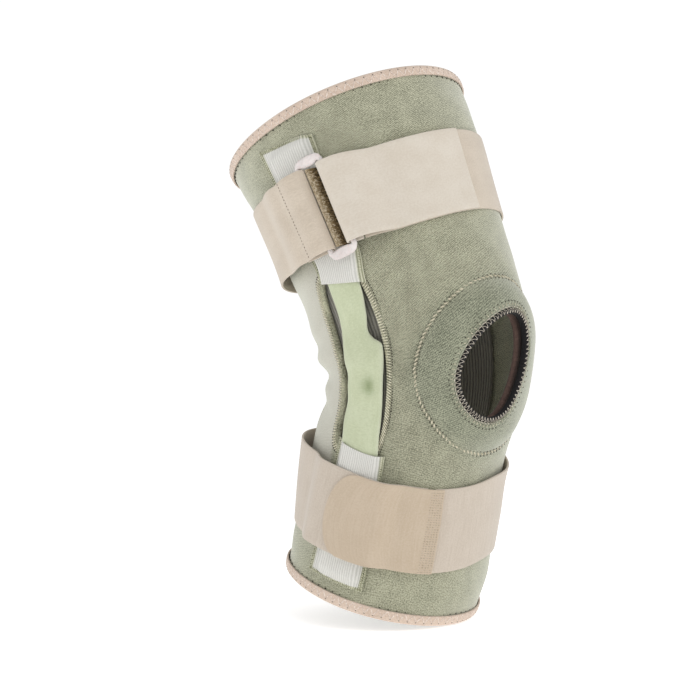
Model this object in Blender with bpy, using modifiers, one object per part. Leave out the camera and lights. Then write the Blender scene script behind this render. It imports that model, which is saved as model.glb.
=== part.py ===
"""Hinged knee brace in its worn form, in metres, +Z up.

The origin is midway between the two hinge pivots. The kneecap faces -Y and the outer side of the leg is -X.
A place on the leg is a station, its distance along the leg's axis from the middle of the bend (positive
up the thigh), an angle round the leg (0 at the front, -90 on the outer side, +90 on the inner side), and a
lift, its height above the sleeve's outer face.
"""

import math

import bmesh
import bpy
import numpy as np
from mathutils import Vector

# Posture of the leg
THIGH_TILT = math.radians(24.3)
CALF_TILT = math.radians(16.5)
BEND_LENGTH = 0.1194
PIVOT_RISE = 0.0065

# Sleeve
THIGH_LENGTH = 0.168
CALF_LENGTH = 0.142
THIGH_WIDTH = 0.145
THIGH_DEPTH = 0.160
KNEE_WIDTH = 0.116
KNEE_DEPTH = 0.126
CALF_WIDTH = 0.122
CALF_DEPTH = 0.120
SLEEVE_WALL = 0.0035
FOLD_HEIGHT = 0.0024
FOLD_LENGTH = 0.009
FOLD_START = 108.0
FOLD_RUN = 34.0

# Edge tapes
BINDING_WIDTH = 0.0072
BINDING_WALL = 0.001
TRIM_RADIUS = 0.0018

# Patella opening and the pad round it
PATELLA_ANGLE = -17.5
PATELLA_WIDTH = 0.056
PATELLA_HEIGHT = 0.0685
PATELLA_LEAN = 0.005
PATELLA_HOOK = 0.0062
PAD_ANGLE = -12.0
PAD_WIDTH = 0.116
PAD_HEIGHT = 0.112
PAD_THICKNESS = 0.0055
PAD_SWELL = 0.78
PAD_FOOT_SWELL = 0.50
PAD_EDGE_START = 0.76
PAD_EDGE_RUN = 0.28
PAD_EDGE_WALL = 0.4

# Hinge, its fabric cover and the window that shows it
WINDOW_LENGTH = 0.122
WINDOW_WIDTH = 0.036
WINDOW_SHIFT = 0.0045
WINDOW_FLARE = 0.4
WINDOW_SQUARENESS = 0.42
LINING_WALL = 0.001
LINING_MARGIN = 0.005
COVER_WIDTH = 0.0255
COVER_THICKNESS = 0.0042
COVER_SWELL = 0.0036
COVER_WALL = 0.0008
COVER_SINK = 0.002
COVER_RISE_START = 0.26
COVER_RISE_RUN = 0.13
COVER_SQUARENESS = 0.7
HINGE_WIDTH = 0.014
HINGE_THICKNESS = 0.0015
HINGE_SWELL = 0.0021
KNUCKLE_WIDENING = 0.4
HINGE_TUCK = 0.005
CALF_ARM_LEAN = 3.5

# White tapes that hold the ends of the hinge
POCKET_WINDOW_WIDTH = 0.032
UPPER_POCKET_RIM_WIDTH = 0.038
LOWER_POCKET_RIM_WIDTH = 0.040
POCKET_WALL = 0.001
POCKET_COVER = 0.009
POCKET_SLANT = 0.011
POCKET_TUCK = 0.009
POCKET_SHOULDER = 0.002
THIGH_RIM_MARGIN = 0.0185
CALF_RIM_MARGIN = 0.014

# Straps and ring
THIGH_STRAP_WIDTH = 0.0535
CALF_STRAP_WIDTH = 0.0505
STRAP_WALL = 0.0014
STRAP_FLARE = 0.0055
STRAP_SLOPE = 14.0
THIGH_STRAP_PLACE = 0.561
THIGH_STRAP_RISE = 0.0185
CALF_STRAP_PLACE = 0.600
CALF_STRAP_RISE = 0.0135
THIGH_TAB_END = -8.0
TAB_CLOSING = -52.0
SEWN_END = -100.5
CALF_SEAM = -34.0
CALF_SEAM_WIDTH = 5.0
CALF_TAB_END = -99.5
CALF_TAB_ROUND = 0.013
RING_ANGLE = -79.9
RING_WIDTH = 0.0195
RING_BAR = 0.0034
RING_SLACK = 0.0015
RING_PLAY = 0.0010
RING_ROUND = 0.35

# Clearance between touching pieces, and the mesh's own fineness
GAP = 0.0004
WELD = 0.00001
AROUND = 40
SLEEVE_ROWS = 20
STRAP_ROWS = 3
STEP = 360.0 / AROUND
LEAST_STEP = 0.25

# Sections of the sleeve: place as a share of the thigh's length (above 0) or the calf's (below 0), whose
# width and depth the row follows, and its half width and its reach to the front and back as shares of them
GIRTHS = {
    "thigh": (THIGH_WIDTH, THIGH_DEPTH),
    "knee": (KNEE_WIDTH, KNEE_DEPTH),
    "calf": (CALF_WIDTH, CALF_DEPTH),
}
SECTIONS = (
    # place, girth, side, front, back
    (-1.00, "calf", 0.502, 0.468, 0.533),
    (-0.80, "calf", 0.494, 0.486, 0.550),
    (-0.56, "knee", 0.498, 0.435, 0.547),
    (-0.32, "knee", 0.484, 0.398, 0.547),
    (-0.11, "knee", 0.494, 0.455, 0.515),
    (0.09, "knee", 0.504, 0.528, 0.529),
    (0.27, "knee", 0.535, 0.541, 0.522),
    (0.54, "thigh", 0.465, 0.447, 0.417),
    (0.77, "thigh", 0.489, 0.470, 0.466),
    (1.00, "thigh", 0.499, 0.474, 0.524),
)

# Runs of the straps round the leg: angle, rise as a share of the strap's rise, and how far the loose edge
# stands off as a share of STRAP_FLARE
THIGH_STRAP_RUN = (
    # angle, rise, flare
    (-180.0, 0.82, 1.00),
    (-134.0, 0.64, 1.00),
    (-90.0, 0.28, 0.00),
    (-45.0, 0.06, 0.00),
    (0.0, 0.00, 0.00),
    (45.0, 0.06, 0.00),
    (90.0, 0.28, 0.00),
    (134.0, 0.64, 1.00),
    (180.0, 0.82, 1.00),
)
CALF_STRAP_RUN = (
    # angle, rise, flare
    (-180.0, 0.00, 1.00),
    (-134.0, 0.00, 1.00),
    (-95.0, 0.00, 0.00),
    (-60.0, 0.08, 0.00),
    (-35.0, 0.22, 0.02),
    (-15.0, 0.48, 0.20),
    (5.0, 0.82, 0.38),
    (35.0, 1.00, 0.40),
    (75.0, 0.90, 0.00),
    (110.0, 0.45, 0.20),
    (145.0, 0.10, 1.00),
    (180.0, 0.00, 1.00),
)

# Soft folds across the hollow of the knee: place as above, height as a share of FOLD_HEIGHT
FOLDS = (
    # place, height
    (0.26, 0.35),
    (0.135, 1.0),
    (0.02, -0.7),
    (-0.09, 0.45),
    (-0.20, -0.35),
)

# Cover and hinge along the arms: place as a share of the arm above (positive) or below the pivot, width as
# a share of COVER_WIDTH, swelling of the knuckle, and shift to the rear as a share of COVER_WIDTH
ARM_ROWS = (
    # place, width, swell, shift
    (-1.00, 0.92, 0.00, 0.00),
    (-0.70, 0.95, 0.00, 0.00),
    (-0.42, 1.00, 0.00, 0.04),
    (-0.28, 1.00, 0.00, 0.12),
    (-0.17, 1.00, 0.25, 0.09),
    (-0.09, 0.98, 0.92, 0.04),
    (0.00, 1.00, 1.00, 0.00),
    (0.06, 0.97, 0.80, 0.02),
    (0.13, 0.94, 0.15, 0.08),
    (0.22, 0.90, 0.00, 0.05),
    (0.37, 0.86, 0.00, -0.09),
    (0.60, 0.90, 0.00, -0.03),
    (1.00, 0.92, 0.00, 0.00),
)

THIGH_RIM = THIGH_LENGTH
CALF_RIM = -CALF_LENGTH
PIVOT = PIVOT_RISE


def ease(share):
    """Smooth step from 0 to 1."""
    share = min(max(share, 0.0), 1.0)
    return share * share * (3.0 - 2.0 * share)


def smooth_curve(places, values, at):
    """Cubic curve through the rows of a table, read at every place of at."""
    slopes = np.gradient(values, places)
    index = np.clip(np.searchsorted(places, at) - 1, 0, len(places) - 2)
    span = places[index + 1] - places[index]
    share = np.clip((at - places[index]) / span, 0.0, 1.0)
    rise = values[index + 1] - values[index]
    start = span * slopes[index] - rise
    end = rise - span * slopes[index + 1]
    bend = share * (1.0 - share) * ((1.0 - share) * start + share * end)
    return values[index] + share * rise + bend


def station_of(place):
    """Station of a place given as a share of the thigh's length or of the calf's."""
    return place * (THIGH_LENGTH if place > 0 else CALF_LENGTH)


def tilt_at(station):
    """Lean of the leg's axis to the rear."""
    return (THIGH_TILT + CALF_TILT) * ease(station / BEND_LENGTH + 0.5) - CALF_TILT


# The leg's axis and sections, worked out once along closely spaced stations
AXIS_STEP = 0.001
AXIS_SPARE = 0.03
AXIS_STATIONS = np.arange(-CALF_LENGTH - AXIS_SPARE, THIGH_LENGTH + AXIS_SPARE, AXIS_STEP)
AXIS_TILTS = np.array([tilt_at(station) for station in AXIS_STATIONS])
AXIS_Y = np.cumsum(np.sin(AXIS_TILTS)) * AXIS_STEP
AXIS_Z = np.cumsum(np.cos(AXIS_TILTS)) * AXIS_STEP
AXIS_Y = AXIS_Y - np.interp(PIVOT, AXIS_STATIONS, AXIS_Y)
AXIS_Z = AXIS_Z - np.interp(PIVOT, AXIS_STATIONS, AXIS_Z)
ROW_STATIONS = np.array([station_of(row[0]) for row in SECTIONS])
SIDE_REACH, FRONT_REACH, BACK_REACH = (
    smooth_curve(
        ROW_STATIONS,
        np.array([row[column] * GIRTHS[row[1]][size] for row in SECTIONS]),
        AXIS_STATIONS,
    )
    for column, size in ((2, 0), (3, 1), (4, 1))
)
FRONT_Y = AXIS_Y - FRONT_REACH * np.cos(AXIS_TILTS)
FRONT_Z = AXIS_Z + FRONT_REACH * np.sin(AXIS_TILTS)
FRONT_RUNS = np.concatenate(([0.0], np.cumsum(np.hypot(np.diff(FRONT_Y), np.diff(FRONT_Z)))))
FRONT_RUNS = FRONT_RUNS - np.interp(0.0, AXIS_STATIONS, FRONT_RUNS)


def wrapped(angle):
    """The same angle between -180 and 180."""
    return (angle + 180.0) % 360.0 - 180.0


def side_radius(station):
    """Half width of the sleeve at a station."""
    return float(np.interp(station, AXIS_STATIONS, SIDE_REACH))


def run_to_station(run):
    """Station reached by a run along the front of the sleeve from the middle of the bend."""
    return float(np.interp(run, FRONT_RUNS, AXIS_STATIONS))


def pad_rise(station, angle):
    """How far the pad round the patella lifts the sleeve."""
    run = float(np.interp(station, AXIS_STATIONS, FRONT_RUNS))
    arc = math.radians(wrapped(angle - PAD_ANGLE)) * KNEE_WIDTH / 2
    reach = math.hypot(run / (PAD_HEIGHT / 2), arc / (PAD_WIDTH / 2))
    share = PAD_FOOT_SWELL + (PAD_SWELL - PAD_FOOT_SWELL) * ease(0.5 + run / PAD_HEIGHT)
    return PAD_THICKNESS * share * (1.0 - ease((reach - PAD_EDGE_START) / PAD_EDGE_RUN))


def fold_rise(station, angle):
    """Height of the soft folds behind the knee."""
    rear = ease((abs(wrapped(angle)) - FOLD_START) / FOLD_RUN)
    rise = 0.0
    for place, height in FOLDS:
        distance = (station - station_of(place)) / FOLD_LENGTH
        rise += height * math.exp(-distance * distance)
    return FOLD_HEIGHT * rise * rear


def limb(station, angle, lift=0.0):
    """Point over the sleeve's outer face at a station, an angle round the leg and a lift."""
    lift = lift + pad_rise(station, angle) + fold_rise(station, angle)
    sine = math.sin(math.radians(angle))
    cosine = math.cos(math.radians(angle))
    depths = FRONT_REACH if cosine > 0 else BACK_REACH
    side = (side_radius(station) + lift) * sine
    depth = (float(np.interp(station, AXIS_STATIONS, depths)) + lift) * cosine
    tilt = float(np.interp(station, AXIS_STATIONS, AXIS_TILTS))
    y = float(np.interp(station, AXIS_STATIONS, AXIS_Y))
    z = float(np.interp(station, AXIS_STATIONS, AXIS_Z))
    return Vector((side, y - depth * math.cos(tilt), z + depth * math.sin(tilt)))


def patella_edge(turn, grow=0.0):
    """Station and angle on the patella opening's edge, at a share of a turn, grown outwards by grow."""
    up = math.sin(math.tau * turn)
    across = math.cos(math.tau * turn)
    run = (PATELLA_HEIGHT / 2 + grow) * up
    arc = (PATELLA_WIDTH / 2 + grow) * across + PATELLA_LEAN * up + PATELLA_HOOK * up * up
    return run_to_station(run), PATELLA_ANGLE + math.degrees(arc / (KNEE_WIDTH / 2 + PAD_THICKNESS))


def pad_edge(turn):
    """Station and angle on the outer edge of the pad."""
    run = PAD_HEIGHT / 2 * math.sin(math.tau * turn)
    arc = PAD_WIDTH / 2 * math.cos(math.tau * turn)
    return run_to_station(run), PAD_ANGLE + math.degrees(arc / (KNEE_WIDTH / 2))


def arm_angle(station):
    """Angle round the leg of the outer hinge's line."""
    return -90.0 + CALF_ARM_LEAN * ease((PIVOT - WINDOW_LENGTH / 2 - station) / (CALF_LENGTH / 2))


def window_edge(turn):
    """Station and angle on the edge of the window over the outer hinge."""
    up = math.sin(math.tau * turn)
    across = math.cos(math.tau * turn)
    run = WINDOW_LENGTH / 2 * math.copysign(abs(up) ** WINDOW_SQUARENESS, up)
    half = WINDOW_WIDTH / 2 * math.copysign(abs(across) ** WINDOW_SQUARENESS, across)
    arc = half - WINDOW_SHIFT * (1.0 + WINDOW_FLARE * (across - 1.0) * up)
    return PIVOT + run, -90.0 + math.degrees(arc / (KNEE_WIDTH / 2))


def material(name, color, roughness, metallic=0.0):
    """Plain material of one sub-part."""
    result = bpy.data.materials.new(name)
    result.use_nodes = True
    shader = result.node_tree.nodes["Principled BSDF"]
    shader.inputs["Base Color"].default_value = (*color, 1.0)
    shader.inputs["Roughness"].default_value = roughness
    shader.inputs["Metallic"].default_value = metallic
    return result


def finished(name, form, collection, finish):
    """Object made from a bmesh, with its material."""
    mesh = bpy.data.meshes.new(name)
    form.to_mesh(mesh)
    form.free()
    if finish:
        mesh.materials.append(finish)
        mesh.shade_smooth()
    item = bpy.data.objects.new(name, mesh)
    collection.objects.link(item)
    return item


def thicken(item, wall, offset):
    """Give an open surface its wall: offset 1 grows outwards, -1 inwards, 0 both ways."""
    solid = item.modifiers.new("wall", "SOLIDIFY")
    if "wall" in item.vertex_groups:
        solid.vertex_group = "wall"
    solid.thickness = wall
    solid.offset = offset
    solid.use_even_offset = True
    return solid


def sheet(name, columns, rows, place, finish, mirrored=False, wall_share=None):
    """Open surface laid on the leg; place(u, v) gives the station, angle and lift of each of its points.

    wall_share(u, v) gives the share of its wall that each point takes.
    """
    form = bmesh.new()
    bmesh.ops.create_grid(form, x_segments=columns, y_segments=rows, size=0.5)
    shares = form.verts.layers.deform.verify()
    for vertex in form.verts:
        u, v = vertex.co.x + 0.5, vertex.co.y + 0.5
        if wall_share:
            vertex[shares][0] = wall_share(u, v)
        vertex.co = limb(*place(u, v))
    if mirrored:
        bmesh.ops.scale(form, vec=(-1.0, 1.0, 1.0), verts=form.verts)
        bmesh.ops.reverse_faces(form, faces=form.faces)
    bmesh.ops.remove_doubles(form, verts=form.verts, dist=WELD)
    item = finished(name, form, parts, finish)
    if wall_share:
        item.vertex_groups.new(name="wall")
    return item


def cutter(name, edge, depth, points, mirrored=False):
    """Plug that cuts an opening through the sleeve along the rim given by edge(turn)."""
    form = bmesh.new()
    bmesh.ops.create_circle(form, cap_ends=True, cap_tris=True, segments=points, radius=1.0)
    for vertex in form.verts:
        if vertex.co.length > 0.5:
            turn = math.atan2(vertex.co.y, vertex.co.x) / math.tau
            station, angle = edge(turn)
        else:
            ends = [edge(turn) for turn in (0.0, 0.5)]
            station, angle = ((ends[0][axis] + ends[1][axis]) / 2 for axis in (0, 1))
        vertex.co = (station, angle, -depth)
    raised = bmesh.ops.extrude_face_region(form, geom=form.faces[:])["geom"]
    for vertex in raised:
        if isinstance(vertex, bmesh.types.BMVert):
            vertex.co.z = depth
    for vertex in form.verts:
        vertex.co = limb(*vertex.co)
    if mirrored:
        bmesh.ops.scale(form, vec=(-1.0, 1.0, 1.0), verts=form.verts)
    bmesh.ops.recalc_face_normals(form, faces=form.faces)
    item = finished(name, form, cutters, None)
    item.hide_render = True
    item.display_type = "WIRE"
    return item


def cut(item, plug):
    """Cut a plug out of an object."""
    opening = item.modifiers.new(plug.name, "BOOLEAN")
    opening.operation = "DIFFERENCE"
    opening.solver = "EXACT"
    opening.object = plug


def loop_of_tube(name, points, radius, finish, sides):
    """Closed round bar along a ring of points."""
    curve = bpy.data.curves.new(name, "CURVE")
    curve.dimensions = "3D"
    curve.bevel_depth = radius
    curve.bevel_resolution = sides
    line = curve.splines.new("POLY")
    line.points.add(len(points) - 1)
    for point, place in zip(line.points, points):
        point.co = (*place, 1.0)
    line.use_cyclic_u = True
    curve.materials.append(finish)
    item = bpy.data.objects.new(name, curve)
    parts.objects.link(item)
    return item


def arm_row(station, column):
    """Value of a column of ARM_ROWS at a station."""
    reach = COVER_TOP - PIVOT if station > PIVOT else PIVOT - COVER_FOOT
    places = [row[0] for row in ARM_ROWS]
    return float(np.interp((station - PIVOT) / reach, places, [row[column] for row in ARM_ROWS]))


def arm_place(station, across, lift):
    """Point at a distance across the hinge's line, positive to the front."""
    rear = arm_row(station, 3) * COVER_WIDTH
    arc = math.degrees((across - rear) / (side_radius(station) + lift))
    return station, arm_angle(station) + arc, lift


def cover_base(station):
    """Lift of the cover's underside: sunk in the window, on the sleeve beyond it."""
    share = abs(station - PIVOT) / WINDOW_LENGTH
    return GAP - COVER_SINK * (1.0 - ease((share - COVER_RISE_START) / COVER_RISE_RUN))


def cover_height(station):
    """Thickness of the cover, which swells over the hinge's knuckle."""
    return COVER_THICKNESS + COVER_SWELL * arm_row(station, 2)


def steps_between(start, end):
    """Angles from start to end that stop at each column of the sleeve's mesh."""
    turn = 1.0 if end > start else -1.0
    first = math.floor(turn * start / STEP + 1.0 + LEAST_STEP)
    last = math.ceil(turn * end / STEP - 1.0 - LEAST_STEP)
    return [start] + [turn * STEP * count for count in range(first, last + 1)] + [end]


def eased_rows(rows, angle):
    """Lift at an angle of a table of angles and lifts, eased from row to row."""
    for (low, low_lift), (high, high_lift) in zip(rows, rows[1:]):
        if min(low, high) <= angle <= max(low, high):
            share = ease((angle - low) / (high - low))
            return low_lift + (high_lift - low_lift) * share
    return rows[-1][1]


def strap_place(run, middle, rise, width, loose_edge):
    """Function for a strap's points: share 0 is its lower edge and 1 its upper, one of which is loose."""
    angles, rises, flares = (np.array(column) for column in zip(*run))

    def place(angle, share, lift):
        turned = wrapped(angle)
        station = middle + rise * float(smooth_curve(angles, rises, turned)) + (share - 0.5) * width
        flare = STRAP_FLARE * max(0.0, float(smooth_curve(angles, flares, turned)))
        return station, angle, lift + flare * abs(share + loose_edge - 1.0)

    return place


def ribbon(name, path, place, finish):
    """Flat strap along a path of angles and lifts."""
    def strap_point(u, v):
        angle, lift = path[round(u * (len(path) - 1))]
        return place(angle, v, lift)
    item = sheet(name, len(path) - 1, STRAP_ROWS, strap_point, finish)
    thicken(item, STRAP_WALL, 0.0)
    return item


for old in list(bpy.data.objects):
    bpy.data.objects.remove(old, do_unlink=True)
parts = bpy.data.collections.new("hinged_knee_brace")
cutters = bpy.data.collections.new("cutters")
bpy.context.scene.collection.children.link(parts)
bpy.context.scene.collection.children.link(cutters)

SLEEVE_CLOTH = material("sleeve_cloth", (0.40, 0.39, 0.28), 0.9)
BINDING_TAPE = material("binding_tape", (0.69, 0.55, 0.43), 0.85)
TRIM_THREAD = material("trim_thread", (0.05, 0.05, 0.05), 0.8)
PAD_FOAM = material("pad_foam", (0.30, 0.28, 0.20), 0.95)
LINING_TAPE = material("lining_tape", (0.26, 0.25, 0.24), 0.9)
COVER_CLOTH = material("cover_cloth", (0.52, 0.56, 0.38), 0.8)
HINGE_METAL = material("hinge_metal", (0.60, 0.60, 0.62), 0.35, 1.0)
POCKET_TAPE = material("pocket_tape", (0.65, 0.63, 0.58), 0.85)
STRAP_ELASTIC = material("strap_elastic", (0.69, 0.60, 0.50), 0.85)
TAB_CLOTH = material("tab_cloth", (0.72, 0.63, 0.54), 0.75)
RING_PLASTIC = material("ring_plastic", (0.64, 0.58, 0.57), 0.35)

# Sleeve, its edge sunk in the fold of each binding, with the patella opening and the two hinge windows
BINDING_TURN = SLEEVE_WALL / 2 + GAP + BINDING_WALL / 2
EDGE_SETBACK = BINDING_WALL / 2 + BINDING_TURN + SLEEVE_WALL / 3
SLEEVE_TOP = THIGH_RIM - EDGE_SETBACK
SLEEVE_FOOT = CALF_RIM + EDGE_SETBACK


def sleeve_place(u, v):
    """Point of the sleeve's outer face."""
    return SLEEVE_FOOT + v * (SLEEVE_TOP - SLEEVE_FOOT), u * 360.0 - 180.0, 0.0


sleeve = sheet("sleeve", AROUND, SLEEVE_ROWS, sleeve_place, SLEEVE_CLOTH)
thicken(sleeve, SLEEVE_WALL, -1.0)
CUT_DEPTH = 3.0 * SLEEVE_WALL
CUT_POINTS = 44
cut(sleeve, cutter("patella_cutter", patella_edge, CUT_DEPTH, CUT_POINTS))
cut(sleeve, cutter("lateral_window_cutter", window_edge, CUT_DEPTH, CUT_POINTS))
cut(sleeve, cutter("medial_window_cutter", window_edge, CUT_DEPTH, CUT_POINTS, mirrored=True))


def binding(name, rim, inward):
    """Tape folded over a rim; inward is -1 at the thigh, where the sleeve lies below the rim."""
    turns = [math.radians(angle) for angle in (-90.0, 0.0, 90.0)]
    folds = [(BINDING_WIDTH, -BINDING_TURN)]
    for turn in turns:
        depth = BINDING_WALL / 2 + BINDING_TURN * (1.0 - math.cos(turn))
        folds.append((depth, BINDING_TURN * math.sin(turn)))
    folds.append((BINDING_WIDTH, BINDING_TURN))

    def binding_place(u, v):
        depth, lift = folds[round(v * (len(folds) - 1))]
        return rim + inward * depth, u * 360.0 - 180.0, lift - SLEEVE_WALL / 2

    thicken(sheet(name, AROUND, len(folds) - 1, binding_place, BINDING_TAPE), BINDING_WALL, 0.0)


binding("thigh_binding", THIGH_RIM, -1.0)
binding("calf_binding", CALF_RIM, 1.0)

# Overlocked edge inside the patella opening
trim_points = []
TRIM_POINTS = 32
for count in range(TRIM_POINTS):
    trim_station, trim_angle = patella_edge(count / TRIM_POINTS, -TRIM_RADIUS - GAP)
    trim_points.append(limb(trim_station, trim_angle, -SLEEVE_WALL / 2))
loop_of_tube("patella_trim", trim_points, TRIM_RADIUS, TRIM_THREAD, 1)

# Ring-shaped pad behind the sleeve, thinner towards its outer edge
PAD_ROWS = 3
PAD_COLUMNS = 32
PAD_CLEARANCE = 2 * GAP + SLEEVE_WALL / 2


def pad_place(u, v):
    """Point of the pad's outer face, from the opening's edge out to the stitched oval."""
    inner = patella_edge(-u)
    outer = pad_edge(-u)
    station, angle = (inner[axis] + v * (outer[axis] - inner[axis]) for axis in (0, 1))
    return station, angle, -SLEEVE_WALL - PAD_CLEARANCE


def pad_share(u, v):
    """Share of the pad's thickness at a point."""
    return 1.0 - (1.0 - PAD_EDGE_WALL) * v * v


pad = sheet("patella_buttress", PAD_COLUMNS, PAD_ROWS, pad_place, PAD_FOAM, wall_share=pad_share)
thicken(pad, PAD_THICKNESS, -1.0)

# Linings, covers and hinges, with the outer one on -X and the inner one its mirror image
POCKET_TOP = THIGH_RIM - THIGH_RIM_MARGIN
POCKET_FOOT = CALF_RIM + CALF_RIM_MARGIN
COVER_TOP = POCKET_TOP - POCKET_TUCK
COVER_FOOT = POCKET_FOOT + POCKET_TUCK
COVER_ROWS = 13
COVER_SIDES = 10
COVER_CROWDING = 1.6
POCKET_ROWS = 6
POCKET_COLUMNS = 8
LINING_COLUMNS = 5
LINING_ROWS = 8
POCKET_SHOULDER_LIFT = 0.12
WINDOW_TOP = PIVOT + WINDOW_LENGTH / 2
WINDOW_FOOT = PIVOT - WINDOW_LENGTH / 2
POCKET_LIFT = GAP + COVER_THICKNESS


def crowded(low, high, share):
    """Station at a share of the way from low to high, with rows close together round the knuckle."""
    side = 2.0 * share - 1.0
    reach = high - PIVOT if side > 0 else PIVOT - low
    return PIVOT + reach * math.copysign(abs(side) ** COVER_CROWDING, side)


def lining_place(u, v):
    """Point of the lining's outer face behind the window."""
    reach = WINDOW_WIDTH / 2 + LINING_MARGIN
    arc = (2.0 * u - 1.0) * reach - WINDOW_SHIFT
    station = PIVOT + (2.0 * v - 1.0) * (WINDOW_LENGTH / 2 + LINING_MARGIN)
    return station, -90.0 + math.degrees(arc / (KNEE_WIDTH / 2)), -SLEEVE_WALL - 2 * GAP


def cover_place(u, v):
    """Point of the cover's outer face, a flattened tube along the hinge."""
    station = crowded(COVER_FOOT, COVER_TOP, v)
    turn = -math.tau * u
    across = math.copysign(abs(math.sin(turn)) ** COVER_SQUARENESS, math.sin(turn))
    height = math.copysign(abs(math.cos(turn)) ** COVER_SQUARENESS, math.cos(turn))
    half = cover_height(station) / 2
    lift = cover_base(station) + half - height * half
    return arm_place(station, across * COVER_WIDTH / 2 * arm_row(station, 1), lift)


def hinge_place(u, v):
    """Point of the hinge's middle plane."""
    station = crowded(COVER_FOOT + HINGE_TUCK, COVER_TOP - HINGE_TUCK, v)
    half = HINGE_WIDTH / 2 * (1.0 + KNUCKLE_WIDENING * arm_row(station, 2))
    return arm_place(station, (2.0 * u - 1.0) * half, cover_base(station) + cover_height(station) / 2)


def hinge_share(u, v):
    """Share of the knuckle's thickness that the hinge has, thin along its arms."""
    station = crowded(COVER_FOOT + HINGE_TUCK, COVER_TOP - HINGE_TUCK, v)
    return (HINGE_THICKNESS + HINGE_SWELL * arm_row(station, 2)) / (HINGE_THICKNESS + HINGE_SWELL)


def pocket_place(low, high, widths, slants):
    """Function for the points of a tape that bulges over the cover, with a width and a slant at each end."""
    edge = COVER_WIDTH / 2
    inner = (0.0, edge / 2, edge - GAP, edge + POCKET_SHOULDER)
    bulge = (1.0, 1.0, 1.0, POCKET_SHOULDER_LIFT, 0.0)

    def place(u, v):
        half = (widths[0] + v * (widths[1] - widths[0])) / 2
        column = round((2.0 * u - 1.0) * len(inner))
        across = math.copysign((*inner, half)[abs(column)], column)
        low_end = low - slants[0] * across / COVER_WIDTH
        high_end = high - slants[1] * across / COVER_WIDTH
        if high > PIVOT:
            stations = [*np.linspace(low_end, COVER_TOP + WELD, POCKET_ROWS), high_end]
        else:
            stations = [low_end, *np.linspace(COVER_FOOT - WELD, high_end, POCKET_ROWS)]
        station = stations[round(v * POCKET_ROWS)]
        past = max(station - COVER_TOP, COVER_FOOT - station)
        over = bulge[abs(column)] * (1.0 - ease(past / POCKET_TUCK))
        rear = arm_row(station, 3) * COVER_WIDTH
        turned = math.degrees((across - rear) / (side_radius(station) + POCKET_LIFT))
        return station, arm_angle(station) + turned, GAP + (COVER_THICKNESS + GAP) * over

    return place


UPPER_POCKET = pocket_place(
    WINDOW_TOP - POCKET_COVER,
    POCKET_TOP,
    (POCKET_WINDOW_WIDTH, UPPER_POCKET_RIM_WIDTH),
    (POCKET_SLANT, POCKET_SLANT / 2),
)
LOWER_POCKET = pocket_place(
    POCKET_FOOT,
    WINDOW_FOOT + POCKET_COVER,
    (LOWER_POCKET_RIM_WIDTH, POCKET_WINDOW_WIDTH),
    (0.0, -POCKET_SLANT / 2),
)
for side, mirrored in (("lateral", False), ("medial", True)):
    lining = sheet("hinge_lining_" + side, LINING_COLUMNS, LINING_ROWS, lining_place, LINING_TAPE, mirrored)
    thicken(lining, LINING_WALL, -1.0)
    cover = sheet("hinge_cover_" + side, COVER_SIDES, COVER_ROWS, cover_place, COVER_CLOTH, mirrored)
    thicken(cover, COVER_WALL, -1.0)
    hinge = sheet("hinge_" + side, 2, COVER_ROWS, hinge_place, HINGE_METAL, mirrored, hinge_share)
    thicken(hinge, HINGE_THICKNESS + HINGE_SWELL, 0.0)
    for name, place in (("upper_pocket_", UPPER_POCKET), ("lower_pocket_", LOWER_POCKET)):
        pocket = sheet(name + side, POCKET_COLUMNS, POCKET_ROWS, place, POCKET_TAPE, mirrored)
        thicken(pocket, POCKET_WALL, 1.0)

# Thigh strap: sewn round the ring's rear bar, then round the back and the front to the ring's front bar
LOW = GAP + STRAP_WALL / 2
OVER_POCKET = 2 * GAP + COVER_THICKNESS + POCKET_WALL + GAP + STRAP_WALL / 2
LAYER = STRAP_WALL + GAP
thigh_run = strap_place(
    THIGH_STRAP_RUN, THIGH_STRAP_PLACE * THIGH_LENGTH, THIGH_STRAP_RISE, THIGH_STRAP_WIDTH, loose_edge=0.0
)
RING_STATION = thigh_run(RING_ANGLE, 0.5, 0.0)[0]
FOLD_RADIUS = RING_BAR / 2 + RING_PLAY + STRAP_WALL / 2
RING_LIFT = OVER_POCKET + FOLD_RADIUS
RING_RADIUS = side_radius(RING_STATION) + RING_LIFT
BAR_REACH = (RING_WIDTH - RING_BAR) / 2
BAR_TURN = math.degrees(math.atan2(BAR_REACH, RING_RADIUS))
BAR_LIFT = RING_LIFT + math.hypot(RING_RADIUS, BAR_REACH) - RING_RADIUS
REAR_BAR = RING_ANGLE - BAR_TURN
FRONT_BAR = RING_ANGLE + BAR_TURN
UNDER_BAR = BAR_LIFT - FOLD_RADIUS
OVER_BAR = BAR_LIFT + FOLD_RADIUS
EDGE_ROOM = 5.5
THIGH_EDGE = math.degrees(COVER_WIDTH / 2 / side_radius(RING_STATION)) + EDGE_ROOM
BAR_STEPS = 6
TAB_TAIL = 4.0
STRAP_TAIL = TAB_TAIL + 0.6
STRAP_TAIL_DROP = 2 * GAP
LOOP_TAIL = 6.0

# The ring is straight and the sleeve under it is not, so the ring's line touches the sleeve's highest point
# under the strap, and the strap and the tab leave the sleeve near the ring to follow that line
CHORD_POINTS = 9
chord_foot = limb(RING_STATION - THIGH_STRAP_WIDTH / 2, RING_ANGLE)
ring_along = (limb(RING_STATION + THIGH_STRAP_WIDTH / 2, RING_ANGLE) - chord_foot).normalized()
ring_out = limb(RING_STATION, RING_ANGLE, RING_LIFT) - limb(RING_STATION, RING_ANGLE)
ring_out = (ring_out - ring_along * ring_out.dot(ring_along)).normalized()


def over_chord(station):
    """Height of the sleeve over the straight line between the strap's two edges at the ring."""
    return (limb(station, RING_ANGLE) - chord_foot).dot(ring_out)


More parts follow.
